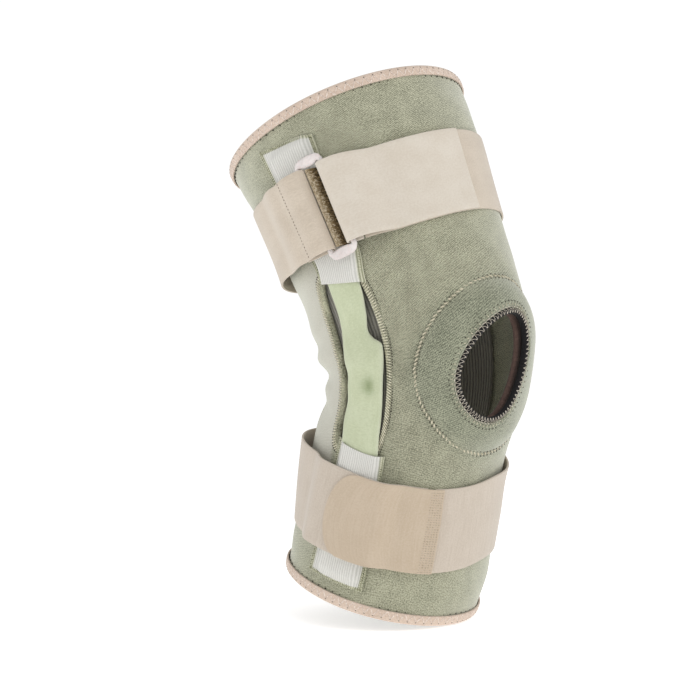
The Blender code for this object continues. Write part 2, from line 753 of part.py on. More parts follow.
RING_TOUCH = max(
    over_chord(RING_STATION + THIGH_STRAP_WIDTH * (count / (CHORD_POINTS - 1) - 0.5))
    for count in range(CHORD_POINTS)
)


def thigh_place(angle, share, lift):
    """Point of the thigh strap or its tab."""
    station, angle, lift = thigh_run(angle, share, lift)
    past = abs(wrapped(angle - RING_ANGLE)) - BAR_TURN - LOOP_TAIL
    near = 1.0 - ease(past / STRAP_SLOPE)
    return station, angle, lift + near * (RING_TOUCH - over_chord(station))


def round_bar(bar, start, end):
    """Angles and lifts of a strap turning round a bar of the ring."""
    path = []
    for count in range(BAR_STEPS + 1):
        turn = math.radians(start + (end - start) * count / BAR_STEPS)
        angle = bar + math.degrees(FOLD_RADIUS * math.cos(turn) / RING_RADIUS)
        path.append((angle, BAR_LIFT + FOLD_RADIUS * math.sin(turn)))
    return path


thigh_rows = (
    (REAR_BAR - TAB_TAIL, OVER_BAR),
    (SEWN_END - 1.0, UNDER_BAR + LAYER),
    (SEWN_END - 1.5 * STRAP_SLOPE, LOW),
    (-270.0 + THIGH_EDGE + STRAP_SLOPE, LOW),
    (-270.0 + THIGH_EDGE, OVER_POCKET),
    (-270.0 - THIGH_EDGE, OVER_POCKET),
    (-270.0 - THIGH_EDGE - STRAP_SLOPE, LOW),
    (-360.0 + TAB_CLOSING, LOW),
    (-360.0 + FRONT_BAR + STRAP_TAIL, UNDER_BAR - STRAP_TAIL_DROP),
)
strap_angles = steps_between(thigh_rows[0][0], thigh_rows[-1][0])
thigh_path = [(SEWN_END, UNDER_BAR), (REAR_BAR - LOOP_TAIL, UNDER_BAR)]
thigh_path += round_bar(REAR_BAR, -90.0, 90.0)
thigh_path += [(angle, eased_rows(thigh_rows, angle)) for angle in strap_angles]
ribbon("thigh_strap", thigh_path, thigh_place, STRAP_ELASTIC)

# Thigh tab: folded round the ring's front bar and laid over the strap's end
tab_rows = (
    (FRONT_BAR + TAB_TAIL - 1.0, OVER_BAR),
    (TAB_CLOSING, LOW + LAYER),
    (THIGH_TAB_END, LOW + LAYER),
)
tab_path = [(FRONT_BAR + TAB_TAIL, UNDER_BAR)]
tab_path += round_bar(FRONT_BAR, -90.0, -270.0)
tab_path += [(angle, eased_rows(tab_rows, angle)) for angle in steps_between(tab_rows[0][0], THIGH_TAB_END)]
ribbon("thigh_tab", tab_path, thigh_place, TAB_CLOTH)

# Ring, flat and rigid, lying over the pocket
ring_middle = limb(RING_STATION, RING_ANGLE, RING_LIFT + RING_TOUCH - over_chord(RING_STATION))
ring_across = ring_along.cross(ring_out).normalized()
RING_REACH = THIGH_STRAP_WIDTH / 2 + RING_SLACK + RING_BAR / 2
RING_STEPS = 8
ring_points = []
for end in (1.0, -1.0):
    for count in range(RING_STEPS + 1):
        turn = math.pi * (count / RING_STEPS + (0.0 if end > 0 else 1.0))
        reach = RING_REACH - BAR_REACH * RING_ROUND * (1.0 - abs(math.sin(turn)))
        point = ring_middle + ring_across * (BAR_REACH * math.cos(turn))
        ring_points.append(point + ring_along * (end * reach))
loop_of_tube("strap_ring", ring_points, RING_BAR / 2, RING_PLASTIC, 2)

# Calf strap: from under the tab, round the back and the shin, to the seam where the tab is sewn on
calf_place = strap_place(
    CALF_STRAP_RUN, -CALF_STRAP_PLACE * CALF_LENGTH, CALF_STRAP_RISE, CALF_STRAP_WIDTH, loose_edge=1.0
)
CALF_RADIUS = side_radius(-CALF_STRAP_PLACE * CALF_LENGTH)
CALF_EDGE = math.degrees(COVER_WIDTH / 2 / CALF_RADIUS) + EDGE_ROOM
calf_rows = (
    (CALF_SEAM - 2 * CALF_SEAM_WIDTH, LOW),
    (-90.0 + CALF_EDGE + STRAP_SLOPE, LOW),
    (-90.0 + CALF_EDGE, OVER_POCKET),
    (-90.0 - CALF_EDGE, OVER_POCKET),
    (-90.0 - CALF_EDGE - STRAP_SLOPE, LOW),
    (-270.0 + CALF_EDGE + STRAP_SLOPE, LOW),
    (-270.0 + CALF_EDGE, OVER_POCKET),
    (-270.0 - CALF_EDGE, OVER_POCKET),
    (-270.0 - CALF_EDGE - STRAP_SLOPE, LOW),
    (-360.0 + CALF_SEAM - CALF_SEAM_WIDTH, LOW),
)
calf_angles = steps_between(calf_rows[0][0], calf_rows[-1][0])
calf_path = [(angle, eased_rows(calf_rows, angle)) for angle in calf_angles]
ribbon("calf_strap", calf_path, calf_place, STRAP_ELASTIC)

# Calf tab: sewn to the strap's end at the seam and laid over the strap, its free end rounded
TAB_TIP_STEPS = 4
TAB_TIP_ROWS = 8
TAB_TIP_START = CALF_TAB_END + 1.5 * STEP
tab_angles = [angle for angle in steps_between(CALF_SEAM, CALF_TAB_END) if angle > TAB_TIP_START]


def calf_tab_place(u, v):
    """Point of the calf tab's middle plane."""
    last = len(tab_angles) - 1
    column = round(u * (last + TAB_TIP_STEPS))
    angle = tab_angles[min(column, last)]
    if column > last:
        round_off = math.degrees(CALF_TAB_ROUND / CALF_RADIUS)
        end = CALF_TAB_END + round_off * (1.0 - math.sqrt(max(0.0, 1.0 - (2.0 * v - 1.0) ** 2)))
        angle = angle + (end - angle) * (column - last) / TAB_TIP_STEPS
    return calf_place(angle, v, eased_rows(calf_rows, min(angle, calf_rows[0][0])) + LAYER)


calf_tab = sheet("calf_tab", len(tab_angles) - 1 + TAB_TIP_STEPS, TAB_TIP_ROWS, calf_tab_place, TAB_CLOTH)
thicken(calf_tab, STRAP_WALL, 0.0)
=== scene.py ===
"""Hinged knee brace as it is worn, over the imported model, in metres, +Z up.

The kneecap's side faces -Y and the outer side is -X. A place on the brace is a station along its bent axis
(positive up the thigh), an angle round it (0 at the front, -90 on the outer side) and a lift over the
sleeve's outer face.
"""

import math

import bmesh
import bpy
import numpy as np
from mathutils import Matrix, Vector


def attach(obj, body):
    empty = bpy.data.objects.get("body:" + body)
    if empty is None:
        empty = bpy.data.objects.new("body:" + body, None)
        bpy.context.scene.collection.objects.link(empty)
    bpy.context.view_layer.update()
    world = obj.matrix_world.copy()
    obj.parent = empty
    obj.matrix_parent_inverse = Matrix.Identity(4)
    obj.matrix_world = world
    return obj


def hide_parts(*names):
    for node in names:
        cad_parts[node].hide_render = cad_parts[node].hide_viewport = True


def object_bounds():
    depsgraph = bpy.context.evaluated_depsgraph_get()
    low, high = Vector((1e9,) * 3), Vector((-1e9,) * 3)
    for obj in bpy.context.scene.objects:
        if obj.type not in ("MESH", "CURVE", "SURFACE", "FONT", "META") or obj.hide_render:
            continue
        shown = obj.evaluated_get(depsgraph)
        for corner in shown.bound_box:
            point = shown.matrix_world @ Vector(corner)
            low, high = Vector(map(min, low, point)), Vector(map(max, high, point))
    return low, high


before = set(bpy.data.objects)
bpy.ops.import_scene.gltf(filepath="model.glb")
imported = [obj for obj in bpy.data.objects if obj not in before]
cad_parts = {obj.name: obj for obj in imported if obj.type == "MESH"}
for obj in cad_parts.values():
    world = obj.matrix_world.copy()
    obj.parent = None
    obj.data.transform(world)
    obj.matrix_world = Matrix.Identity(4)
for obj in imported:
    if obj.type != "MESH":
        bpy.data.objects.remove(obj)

cad_low, cad_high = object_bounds()
scene = bpy.context.scene

# Camera at the photograph's angle, about a metre away with a long lens.
TURN = math.radians(55.94)
RISE = math.radians(1.63)
DISTANCE = 1.0696
AIM_LEFT = 0.048
AIM_UP = 0.0132
right = Vector((math.cos(TURN), -math.sin(TURN), 0.0))
back = Vector((-math.sin(TURN) * math.cos(RISE), -math.cos(TURN) * math.cos(RISE), math.sin(RISE)))
up = back.cross(right)
middle = Vector((0.0, -0.0006, -0.0065))
camera = bpy.data.objects.new("camera", bpy.data.cameras.new("camera"))
scene.collection.objects.link(camera)
camera.data.lens = 89.3
camera.data.sensor_width = 36.0
camera.location = middle + back * DISTANCE
aim = middle - right * AIM_LEFT + up * AIM_UP
camera.rotation_euler = (aim - camera.location).to_track_quat("-Z", "Y").to_euler()
scene.camera = camera

# Studio: a pale floor under the brace, a white surround and three large soft lamps.


def put(tree, kind, values=(), **settings):
    """Shader node with its settings; values gives its inputs, as numbers, colours or other nodes' outputs."""
    node = tree.nodes.new(kind)
    for name, value in settings.items():
        setattr(node, name, value)
    for name, value in dict(values).items():
        if isinstance(value, bpy.types.NodeSocket):
            tree.links.new(value, node.inputs[name])
        else:
            node.inputs[name].default_value = value
    return node


def blank(name):
    """Empty material with its tree and its output node."""
    finish = bpy.data.materials.new(name)
    finish.use_nodes = True
    finish.node_tree.nodes.clear()
    return finish, finish.node_tree, finish.node_tree.nodes.new("ShaderNodeOutputMaterial")


def linked(item):
    """Object added to the scene."""
    scene.collection.objects.link(item)
    return item


FLOOR_SIZE = 12.0
FLOOR_GAP = 0.0008
floor_form = bmesh.new()
bmesh.ops.create_grid(floor_form, x_segments=4, y_segments=4, size=FLOOR_SIZE)
bmesh.ops.translate(floor_form, vec=(0.0, 0.0, cad_low.z - FLOOR_GAP), verts=floor_form.verts)
floor_mesh = bpy.data.meshes.new("floor")
floor_form.to_mesh(floor_mesh)
floor_form.free()
floor = linked(bpy.data.objects.new("floor", floor_mesh))
floor_finish, tree, output = blank("floor_paper")
spot = put(tree, "ShaderNodeTexCoord").outputs["Object"]
grain = put(tree, "ShaderNodeTexNoise", {"Scale": 6.0, "Vector": spot})
shade = put(tree, "ShaderNodeMapRange", {"Value": grain.outputs["Fac"], "To Min": 0.90, "To Max": 0.93})
paper = put(tree, "ShaderNodeBsdfPrincipled", {
    "Base Color": shade.outputs["Result"], "Roughness": 0.9, "Emission Color": shade.outputs["Result"],
    "Emission Strength": 0.60})
tree.links.new(paper.outputs["BSDF"], output.inputs["Surface"])
floor_mesh.materials.append(floor_finish)

world = bpy.data.worlds.new("studio")
world.use_nodes = True
world.node_tree.nodes.clear()
rays = put(world.node_tree, "ShaderNodeLightPath")
power = put(world.node_tree, "ShaderNodeMapRange", {
    "Value": rays.outputs["Is Camera Ray"], "To Min": 0.57, "To Max": 1.05})
glow = put(world.node_tree, "ShaderNodeBackground", {
    "Color": (1.0, 1.0, 1.0, 1.0), "Strength": power.outputs["Result"]})
put(world.node_tree, "ShaderNodeOutputWorld", {"Surface": glow.outputs["Background"]})
scene.world = world
scene.view_settings.view_transform = "Standard"

for name, place, size, watts in (
    ("key_lamp", back * 1.2 + up * 1.1 + right * 0.5, 1.2, 7.0),
    ("left_lamp", back * 0.2 - right * 1.5 + up * 0.3, 1.2, 5.0),
    ("right_lamp", back * 0.3 + right * 1.5 + up * 0.5, 1.0, 4.0),
):
    lamp = linked(bpy.data.objects.new(name, bpy.data.lights.new(name, "AREA")))
    lamp.data.size = size
    lamp.data.energy = watts
    lamp.location = place
    lamp.rotation_euler = (-place).to_track_quat("-Z", "Y").to_euler()

# Sleeve: one tube of knitted cloth bonded to thin foam, sewn up behind, bent at the knee. It has an opening
# for the kneecap and a window over each hinge, and its pad shows as a low oval swelling round the opening.
THIGH_TILT = math.radians(24.3)
CALF_TILT = math.radians(16.5)
BEND_LENGTH = 0.1194
PIVOT = 0.0065
THIGH_LENGTH = 0.168
CALF_LENGTH = 0.142
KNEE_WIDTH = 0.116
SLEEVE_WALL = 0.0035
BINDING_WALL = 0.001
PAD_THICKNESS = 0.0055
PAD_ANGLE = -12.0
PAD_HALF_HEIGHT = 0.056
PAD_HALF_WIDTH = 0.058
PATELLA_ANGLE = -17.5
PATELLA_HALF_HEIGHT = 0.03425
PATELLA_HALF_WIDTH = 0.028
WINDOW_HALF_HEIGHT = 0.061
WINDOW_HALF_WIDTH = 0.018
WINDOW_REAR = 0.0045
WINDOW_SHIFT = 0.003
GAP = 0.0004
OUTER = -90.0
INNER = -270.0
KNEE_ARC = math.degrees(2.0 / KNEE_WIDTH)
FOLD_REACH = 0.009
FOLD_EDGE = 108.0
FOLD_FADE = 34.0
SECTIONS = (
    # station, half width, reach to the front, reach to the back
    (-0.1420, 0.06124, 0.05616, 0.06396),
    (-0.1136, 0.06027, 0.05832, 0.06600),
    (-0.0795, 0.05777, 0.05481, 0.06892),
    (-0.0454, 0.05614, 0.05015, 0.06892),
    (-0.0156, 0.05730, 0.05733, 0.06489),
    (0.0151, 0.05846, 0.06653, 0.06665),
    (0.0454, 0.06206, 0.06817, 0.06577),
    (0.0907, 0.06743, 0.07152, 0.06672),
    (0.1294, 0.07091, 0.07520, 0.07456),
    (0.1680, 0.07236, 0.07584, 0.08384),
)
FOLDS = (
    # station, height
    (0.0437, 0.00084),
    (0.0227, 0.0024),
    (0.0034, -0.00168),
    (-0.0128, 0.00108),
    (-0.0284, -0.00084),
)


def ease(share):
    """Smooth step from 0 to 1."""
    share = np.clip(share, 0.0, 1.0)
    return share * share * (3.0 - 2.0 * share)


def smooth_curve(places, values, at):
    """Cubic curve through the rows of a table, read at every place of at."""
    places, values = np.asarray(places), np.asarray(values)
    slopes = np.gradient(values, places)
    index = np.clip(np.searchsorted(places, at) - 1, 0, len(places) - 2)
    span = places[index + 1] - places[index]
    share = np.clip((at - places[index]) / span, 0.0, 1.0)
    rise = values[index + 1] - values[index]
    start = span * slopes[index] - rise
    end = rise - span * slopes[index + 1]
    return values[index] + share * rise + share * (1.0 - share) * ((1.0 - share) * start + share * end)


STATIONS = np.arange(-CALF_LENGTH - 0.03, THIGH_LENGTH + 0.03, 0.001)
TILTS = (THIGH_TILT + CALF_TILT) * ease(STATIONS / BEND_LENGTH + 0.5) - CALF_TILT
AXIS_Y = np.cumsum(np.sin(TILTS)) * 0.001
AXIS_Z = np.cumsum(np.cos(TILTS)) * 0.001
AXIS_Y = AXIS_Y - np.interp(PIVOT, STATIONS, AXIS_Y)
AXIS_Z = AXIS_Z - np.interp(PIVOT, STATIONS, AXIS_Z)
PLACES, *REACHES = (np.array(column) for column in zip(*SECTIONS))
SIDE_REACH, FRONT_REACH, BACK_REACH = (smooth_curve(PLACES, reach, STATIONS) for reach in REACHES)
FRONT_STEPS = np.hypot(
    np.diff(AXIS_Y - FRONT_REACH * np.cos(TILTS)),
    np.diff(AXIS_Z + FRONT_REACH * np.sin(TILTS)),
)
FRONT_RUNS = np.concatenate(([0.0], np.cumsum(FRONT_STEPS)))
FRONT_RUNS = FRONT_RUNS - np.interp(0.0, STATIONS, FRONT_RUNS)


def wheel(turn):
    """Cosine and sine of a turn."""
    return np.cos(math.tau * turn), np.sin(math.tau * turn)


def blunted(wave, power):
    """Wave raised to a power below 1 with its sign kept, which squares its curve."""
    return np.copysign(np.abs(wave) ** power, wave)


def mirror(mirrored):
    """Factors that take the outer side to the inner one when mirrored."""
    return np.array((-1.0 if mirrored else 1.0, 1.0, 1.0))


def wrapped(angle):
    """The same angle between -180 and 180."""
    return (angle + 180.0) % 360.0 - 180.0


def side_radius(station):
    """Half width of the sleeve."""
    return np.interp(station, STATIONS, SIDE_REACH)


def pad_reach(station, angle):
    """How far out a place is from the pad's middle, as a share of the pad's half height or half width."""
    run = np.interp(station, STATIONS, FRONT_RUNS)
    arc = np.radians(wrapped(angle - PAD_ANGLE)) * KNEE_WIDTH / 2
    return run / PAD_HALF_HEIGHT, arc / PAD_HALF_WIDTH


def limb(station, angle, lift=0.0):
    """Points over the sleeve's outer face."""
    station, angle, lift = np.broadcast_arrays(np.asarray(station, float), angle, lift)
    run, arc = pad_reach(station, angle)
    swell = PAD_THICKNESS * (0.50 + 0.28 * ease(0.5 + run / 2))
    rise = swell * (1.0 - ease((np.hypot(run, arc) - 0.76) / 0.28))
    folds = sum(height * np.exp(-((station - place) / FOLD_REACH) ** 2) for place, height in FOLDS)
    lift = lift + rise + folds * ease((np.abs(wrapped(angle)) - FOLD_EDGE) / FOLD_FADE)
    sine, cosine = np.sin(np.radians(angle)), np.cos(np.radians(angle))
    reach = np.where(
        cosine > 0, np.interp(station, STATIONS, FRONT_REACH), np.interp(station, STATIONS, BACK_REACH)
    )
    depth = (reach + lift) * cosine
    tilt = np.interp(station, STATIONS, TILTS)
    y = np.interp(station, STATIONS, AXIS_Y) - depth * np.cos(tilt)
    z = np.interp(station, STATIONS, AXIS_Z) + depth * np.sin(tilt)
    return np.stack(((side_radius(station) + lift) * sine, y, z), axis=-1)


def patella_edge(turn, grow=0.0):
    """Station and angle on the kneecap opening's edge, grown outwards."""
    across, rise = wheel(turn)
    run = (PATELLA_HALF_HEIGHT + grow) * rise
    arc = (PATELLA_HALF_WIDTH + grow) * across + 0.005 * rise + 0.0062 * rise * rise
    angle = PATELLA_ANGLE + np.degrees(arc / (KNEE_WIDTH / 2 + PAD_THICKNESS))
    return np.interp(run, FRONT_RUNS, STATIONS), angle


def window_edge(turn, grow=0.0):
    """Station and angle on the edge of the outer hinge's window, grown outwards."""
    across, rise = wheel(turn)
    run = (WINDOW_HALF_HEIGHT + grow) * blunted(rise, 0.42)
    half = (WINDOW_HALF_WIDTH + grow) * blunted(across, np.where(across > 0, 0.56, 0.42))
    arc = half - WINDOW_SHIFT - WINDOW_REAR * (1.0 + 0.4 * (across - 1.0) * rise)
    return PIVOT + run, OUTER + arc * KNEE_ARC


def round_steps(count):
    """Even shares of a full turn."""
    return np.linspace(0.0, 1.0, count, endpoint=False)


def grid(columns, rows):
    """Flat unit grid."""
    form = bmesh.new()
    bmesh.ops.create_grid(form, x_segments=columns, y_segments=rows, size=0.5)
    return form


def worn(name, mesh, finish):
    """Object of a finished mesh, on the brace's one body."""
    mesh.materials.append(finish)
    mesh.shade_smooth()
    item = linked(bpy.data.objects.new(name, mesh))
    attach(item, "root")
    return item


def laid(name, form, place, flat, finish, mirrored=False, closed=False, marks=()):
    """Piece made from a unit grid: place(u, v) gives its points, flat the size that its UV map keeps.

    marks gives masks of its material, each a name and a function of u and v.
    """
    mesh = bpy.data.meshes.new(name)
    form.to_mesh(mesh)
    form.free()
    spots = np.empty(len(mesh.vertices) * 3)
    mesh.vertices.foreach_get("co", spots)
    u, v = spots[0::3] + 0.5, spots[1::3] + 0.5
    corners = np.empty(len(mesh.loops), dtype=np.int32)
    mesh.loops.foreach_get("vertex_index", corners)
    chart = np.stack((u * flat[0], v * flat[1]), axis=-1)
    mesh.uv_layers.new(name="cloth").data.foreach_set("uv", chart[corners].ravel())
    for mark, share in marks:
        mesh.attributes.new(mark, "FLOAT", "POINT").data.foreach_set("value", share(u, v).astype(np.float32))
    mesh.vertices.foreach_set("co", (place(u, v) * mirror(mirrored)).ravel())
    if mirrored:
        mesh.flip_normals()
    form = bmesh.new()
    form.from_mesh(mesh)
    bmesh.ops.remove_doubles(form, verts=form.verts, dist=0.00001)
    if closed:
        bmesh.ops.recalc_face_normals(form, faces=form.faces)
    form.to_mesh(mesh)
    form.free()
    return worn(name, mesh, finish)


def thicken(item, wall, offset, rounding=0.0):
    """Give a sheet its wall: offset 1 grows outwards, -1 inwards, 0 both ways; with a rounding, its cut edges
    are rounded.
    """
    solid = item.modifiers.new("wall", "SOLIDIFY")
    solid.thickness = wall
    solid.offset = offset
    solid.use_even_offset = True
    if rounding:
        bevel = item.modifiers.new("edge", "BEVEL")
        bevel.width = rounding
        bevel.segments = 2
        bevel.limit_method = "ANGLE"
        bevel.angle_limit = math.radians(60.0)
    return item


def group(name, inputs, outputs):
    """Node group with float or vector inputs and outputs, each given as a name and a default value."""
    tree = bpy.data.node_groups.new(name, "ShaderNodeTree")
    for title, value in inputs:
        kind = "NodeSocketFloat" if value is not None else "NodeSocketVector"
        socket = tree.interface.new_socket(title, in_out="INPUT", socket_type=kind)
        if value is not None:
            socket.default_value = value
    for title in outputs:
        tree.interface.new_socket(title, in_out="OUTPUT", socket_type="NodeSocketFloat")
    return tree, tree.nodes.new("NodeGroupInput").outputs, tree.nodes.new("NodeGroupOutput").inputs


def arithmetic(tree, operation, *values):
    """Output of a math node."""
    return put(tree, "ShaderNodeMath", enumerate(values), operation=operation).outputs[0]


def noise(tree, place, scale, detail=2.0, roughness=0.6):
    """Output of a noise texture."""
    values = {"Vector": place, "Scale": scale, "Detail": detail, "Roughness": roughness}
    return put(tree, "ShaderNodeTexNoise", values).outputs["Fac"]


def remap(tree, value, low, high, new_low=0.0, new_high=1.0):
    """Value taken from one range to another."""
    values = {"Value": value, "From Min": low, "From Max": high, "To Min": new_low, "To Max": new_high}
    return put(tree, "ShaderNodeMapRange", values, interpolation_type="SMOOTHSTEP").outputs["Result"]


def weigh(tree, *parts):
    """Sum of values, each given with its weight."""
    total = 0.0
    for value, weight in parts:
        total = arithmetic(tree, "MULTIPLY_ADD", value, weight, total)
    return total


def wave(tree, run, turn, drift=0.0):
    """Sine of a run times a turn, plus a drift."""
    return arithmetic(tree, "SINE", arithmetic(tree, "MULTIPLY_ADD", run, turn, drift))


def blend(tree, factor, first, second):
    """Mix of two colours, each given as numbers or as another node's output."""
    first, second = (end if isinstance(end, bpy.types.NodeSocket) else (*end, 1.0) for end in (first, second))
    return put(tree, "ShaderNodeMix", {"Factor": factor, 6: first, 7: second}, data_type="RGBA").outputs[2]


def coated(tree, output, height, strength, depth, values):
    """Finish a material with a Principled shader of these inputs, roughened by a bump."""
    relief = put(tree, "ShaderNodeBump", {"Strength": strength, "Distance": depth, "Height": height})
    shader = put(tree, "ShaderNodeBsdfPrincipled", {**values, "Normal": relief.outputs["Normal"]})
    tree.links.new(shader.outputs["BSDF"], output.inputs["Surface"])


# Knit of fine slanting wales: each stitch is a bright bump between dark pits, flecked by the yarn.
knit, given, result = group("knit", (("Place", None), ("Pitch", 0.00105)), ("Mask", "Height"))
split = put(knit, "ShaderNodeSeparateXYZ", {0: given["Place"]}).outputs
turn = arithmetic(knit, "DIVIDE", math.tau, given["Pitch"])
waver = arithmetic(knit, "MULTIPLY", noise(knit, given["Place"], 420.0), 9.0)
wale = wave(knit, weigh(knit, (split[0], 1.0), (split[1], 0.62)), turn, waver)
course = wave(knit, weigh(knit, (split[1], 1.0), (split[0], -0.35)), turn, waver)
bumps = weigh(knit, (wale, 0.25), (course, 0.25), (0.5, 1.0))
flecks = noise(knit, given["Place"], 1050.0, 2.0, 0.8)
mixed = weigh(knit, (bumps, 0.34), (flecks, 0.95), (noise(knit, given["Place"], 90.0, 3.0), 0.25))
knit.links.new(remap(knit, mixed, 0.52, 1.00), result["Mask"])
knit.links.new(arithmetic(knit, "ADD", bumps, flecks), result["Height"])

# Woven tape: ribs across one direction, crossed by fine yarns.
tape, given, result = group("tape", (("Place", None), ("Pitch", 0.0014)), ("Mask", "Height"))
split = put(tape, "ShaderNodeSeparateXYZ", {0: given["Place"]}).outputs
turn = arithmetic(tape, "DIVIDE", math.tau, given["Pitch"])
rib = wave(tape, split[0], turn, arithmetic(tape, "MULTIPLY", noise(tape, given["Place"], 160.0), 2.2))
yarn = wave(tape, split[1], 9000.0)
flecks = noise(tape, given["Place"], 1100.0, 1.0)
woven = weigh(tape, (rib, 0.275), (yarn, 0.075), (flecks, 0.45), (0.35, 1.0))
tape.links.new(remap(tape, woven, 0.15, 0.95), result["Mask"])
tape.links.new(woven, result["Height"])

# Brushed cloth: a short soft nap with long faint streaks.
nap, given, result = group("nap", (("Place", None), ("Streak", 6.0)), ("Mask", "Height"))
split = put(nap, "ShaderNodeSeparateXYZ", {0: given["Place"]}).outputs
drawn_out = put(nap, "ShaderNodeCombineXYZ", {
    0: arithmetic(nap, "MULTIPLY", split[0], given["Streak"]), 1: split[1]}).outputs[0]
napped = weigh(
    nap, (noise(nap, given["Place"], 900.0, 2.0, 0.7), 0.45), (noise(nap, drawn_out, 60.0, 3.0), 0.35),
    (noise(nap, given["Place"], 45.0), 0.20))
nap.links.new(remap(nap, napped, 0.36, 0.64), result["Mask"])
nap.links.new(napped, result["Height"])


def cloth(
    name, weave, dark, light, rim, values=(), painted_sheen_share=0.7, bump=0.35, depth=0.0006, sheen=0.15, tone=()
):
    """Cloth in two colours mixed by a weave group's mask, paling to a rim colour where it turns away: a
    painted sheen.

    tone names masks of the mesh, each with the colours that take over where it is 1.
    """
    finish, tree, output = blank(name)
    weaving = put(tree, "ShaderNodeGroup", node_tree=weave)
    tree.links.new(put(tree, "ShaderNodeUVMap", uv_map="cloth").outputs["UV"], weaving.inputs["Place"])
    for title, value in dict(values).items():
        weaving.inputs[title].default_value = value
    mask = weaving.outputs["Mask"]
    colour = blend(tree, mask, dark, light)
    for mark, low, high in tone:
        share = put(tree, "ShaderNodeAttribute", attribute_name=mark).outputs["Fac"]
        colour = blend(tree, share, colour, blend(tree, mask, low, high))
    # Painted sheen: the colour pales to the rim colour towards the silhouette.
    facing = put(tree, "ShaderNodeLayerWeight", {"Blend": 0.5}).outputs["Facing"]
    edge = arithmetic(tree, "MULTIPLY", arithmetic(tree, "POWER", facing, 2.4), painted_sheen_share)
    coated(tree, output, weaving.outputs["Height"], bump, depth, {
        "Base Color": blend(tree, edge, colour, rim), "Roughness": remap(tree, mask, 0.0, 1.0, 0.95, 0.82),
        "Sheen Weight": sheen, "Sheen Roughness": 0.6, "Specular IOR Level": 0.25})
    return finish


def thread(name, dark, light, roughness=0.75):
    """Sewing thread, mottled along its length."""
    finish, tree, output = blank(name)
    fleck = noise(tree, put(tree, "ShaderNodeTexCoord").outputs["Object"], 900.0)
    shade = blend(tree, remap(tree, fleck, 0.35, 0.65), dark, light)
    coated(tree, output, fleck, 0.3, 0.0003, {"Base Color": shade, "Roughness": roughness})
    return finish


def crossings(outline, x, y):
    """Whether points lie inside a closed outline."""
    count = np.zeros(len(x), dtype=int)
    for (x0, y0), (x1, y1) in zip(outline, np.roll(outline, -1, axis=0)):
        if y0 != y1:
            side = (y0 > y) != (y1 > y)
            count += side & (x < (x1 - x0) * (y - y0) / (y1 - y0) + x0)
    return count % 2 == 1


def open_up(form, outline):
    """Cut an opening in a unit grid and draw its edge to the outline."""
    form.faces.ensure_lookup_table()
    centres = np.array([face.calc_center_median()[:2] for face in form.faces])
    inside = crossings(outline, centres[:, 0], centres[:, 1])
    gone = [form.faces[index] for index in np.flatnonzero(inside)]
    rim = {vertex for face in gone for vertex in face.verts}
    bmesh.ops.delete(form, geom=gone, context="FACES")
    for vertex in rim:
        if vertex.is_valid:
            steps = outline - np.array(vertex.co[:2])
            nearest = outline[np.argmin(steps[:, 0] ** 2 + steps[:, 1] ** 2)]
            vertex.co.x, vertex.co.y = nearest


SLEEVE_TOP = THIGH_LENGTH - 0.0042
SLEEVE_FOOT = -CALF_LENGTH + 0.0042
SLEEVE_FLAT = (0.415, SLEEVE_TOP - SLEEVE_FOOT)


def on_sleeve(u, v):
    """Station and angle at a place of the sleeve's unit grid."""
    return SLEEVE_FOOT + v * (SLEEVE_TOP - SLEEVE_FOOT), u * 360.0 - 180.0


def sleeve_place(u, v):
    """Points of the sleeve's outer face, with shallow ripples and the groove of the pad's stitches."""
    station, angle = on_sleeve(u, v)
    run, arc = pad_reach(station, angle)
    groove = 0.0009 * np.exp(-((np.hypot(run / 0.98, arc / 0.925) - 1.0) / 0.035) ** 2)
    turn = np.radians(angle)
    ripple = 0.0005 * np.sin(station * 190.0 + turn * 3.0) * np.sin(turn * 5.0 + 1.0)
    return limb(station, angle, ripple - groove)


def behind(u, v):
    """Share of the smooth pale cloth behind the knee, painted paler still for the strong light from behind.
    """
    station, angle = on_sleeve(u, v)
    edge = np.interp(station, (-0.07, -0.04, -0.008, 0.03, 0.07), (112.0, 117.0, 116.0, 107.0, 103.0))
    ends = ease((station + 0.085) / 0.02) * ease((0.088 - station) / 0.02)
    return ease((np.abs(angle) - edge + 1.0) / 2.0) * ends


def kneepad(u, v):
    """Share of the darker colour over the pad."""
    run, arc = pad_reach(*on_sleeve(u, v))
    return 1.0 - ease((np.hypot(run, arc) - 0.80) / 0.35)


def darker_beside_hinge(u, v):
    """Share of the slightly darker colour between the outer hinge and the kneecap."""
    station, angle = on_sleeve(u, v)
    near = 1.0 - ease((np.abs(angle + 45.0) - 30.0) / 45.0)
    return 0.9 * np.exp(-((station + 0.008) / 0.050) ** 2) * near


def unrolled(edge, side):
    """Outline of an opening on the sleeve's unit grid, on the outer side or the inner."""
    station, angle = edge(round_steps(900))
    v = (station - SLEEVE_FOOT) / (SLEEVE_TOP - SLEEVE_FOOT) - 0.5
    return np.stack((side * angle / 360.0, v), axis=-1)


# The sleeve's panel behind the knee is painted paler than its cloth, for the strong light on it from behind.
SLEEVE_CLOTH = cloth(
    "sleeve_cloth", knit, (0.145, 0.147, 0.098), (0.522, 0.517, 0.377), (0.72, 0.73, 0.64),
    tone=(("darker_beside_hinge", (0.110, 0.112, 0.074), (0.435, 0.430, 0.310)),
          ("kneepad", (0.098, 0.106, 0.072), (0.370, 0.382, 0.276)),
          ("behind", (0.42, 0.405, 0.335), (0.56, 0.545, 0.475))))
sleeve_form = grid(240, 160)
for edge, side in ((patella_edge, 1.0), (window_edge, 1.0), (window_edge, -1.0)):
    open_up(sleeve_form, unrolled(edge, side))
sleeve = thicken(laid(
    "sleeve_cloth", sleeve_form, sleeve_place, SLEEVE_FLAT, SLEEVE_CLOTH,
    marks=(("behind", behind), ("kneepad", kneepad), ("darker_beside_hinge", darker_beside_hinge))), SLEEVE_WALL, -1.0)
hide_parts("sleeve")

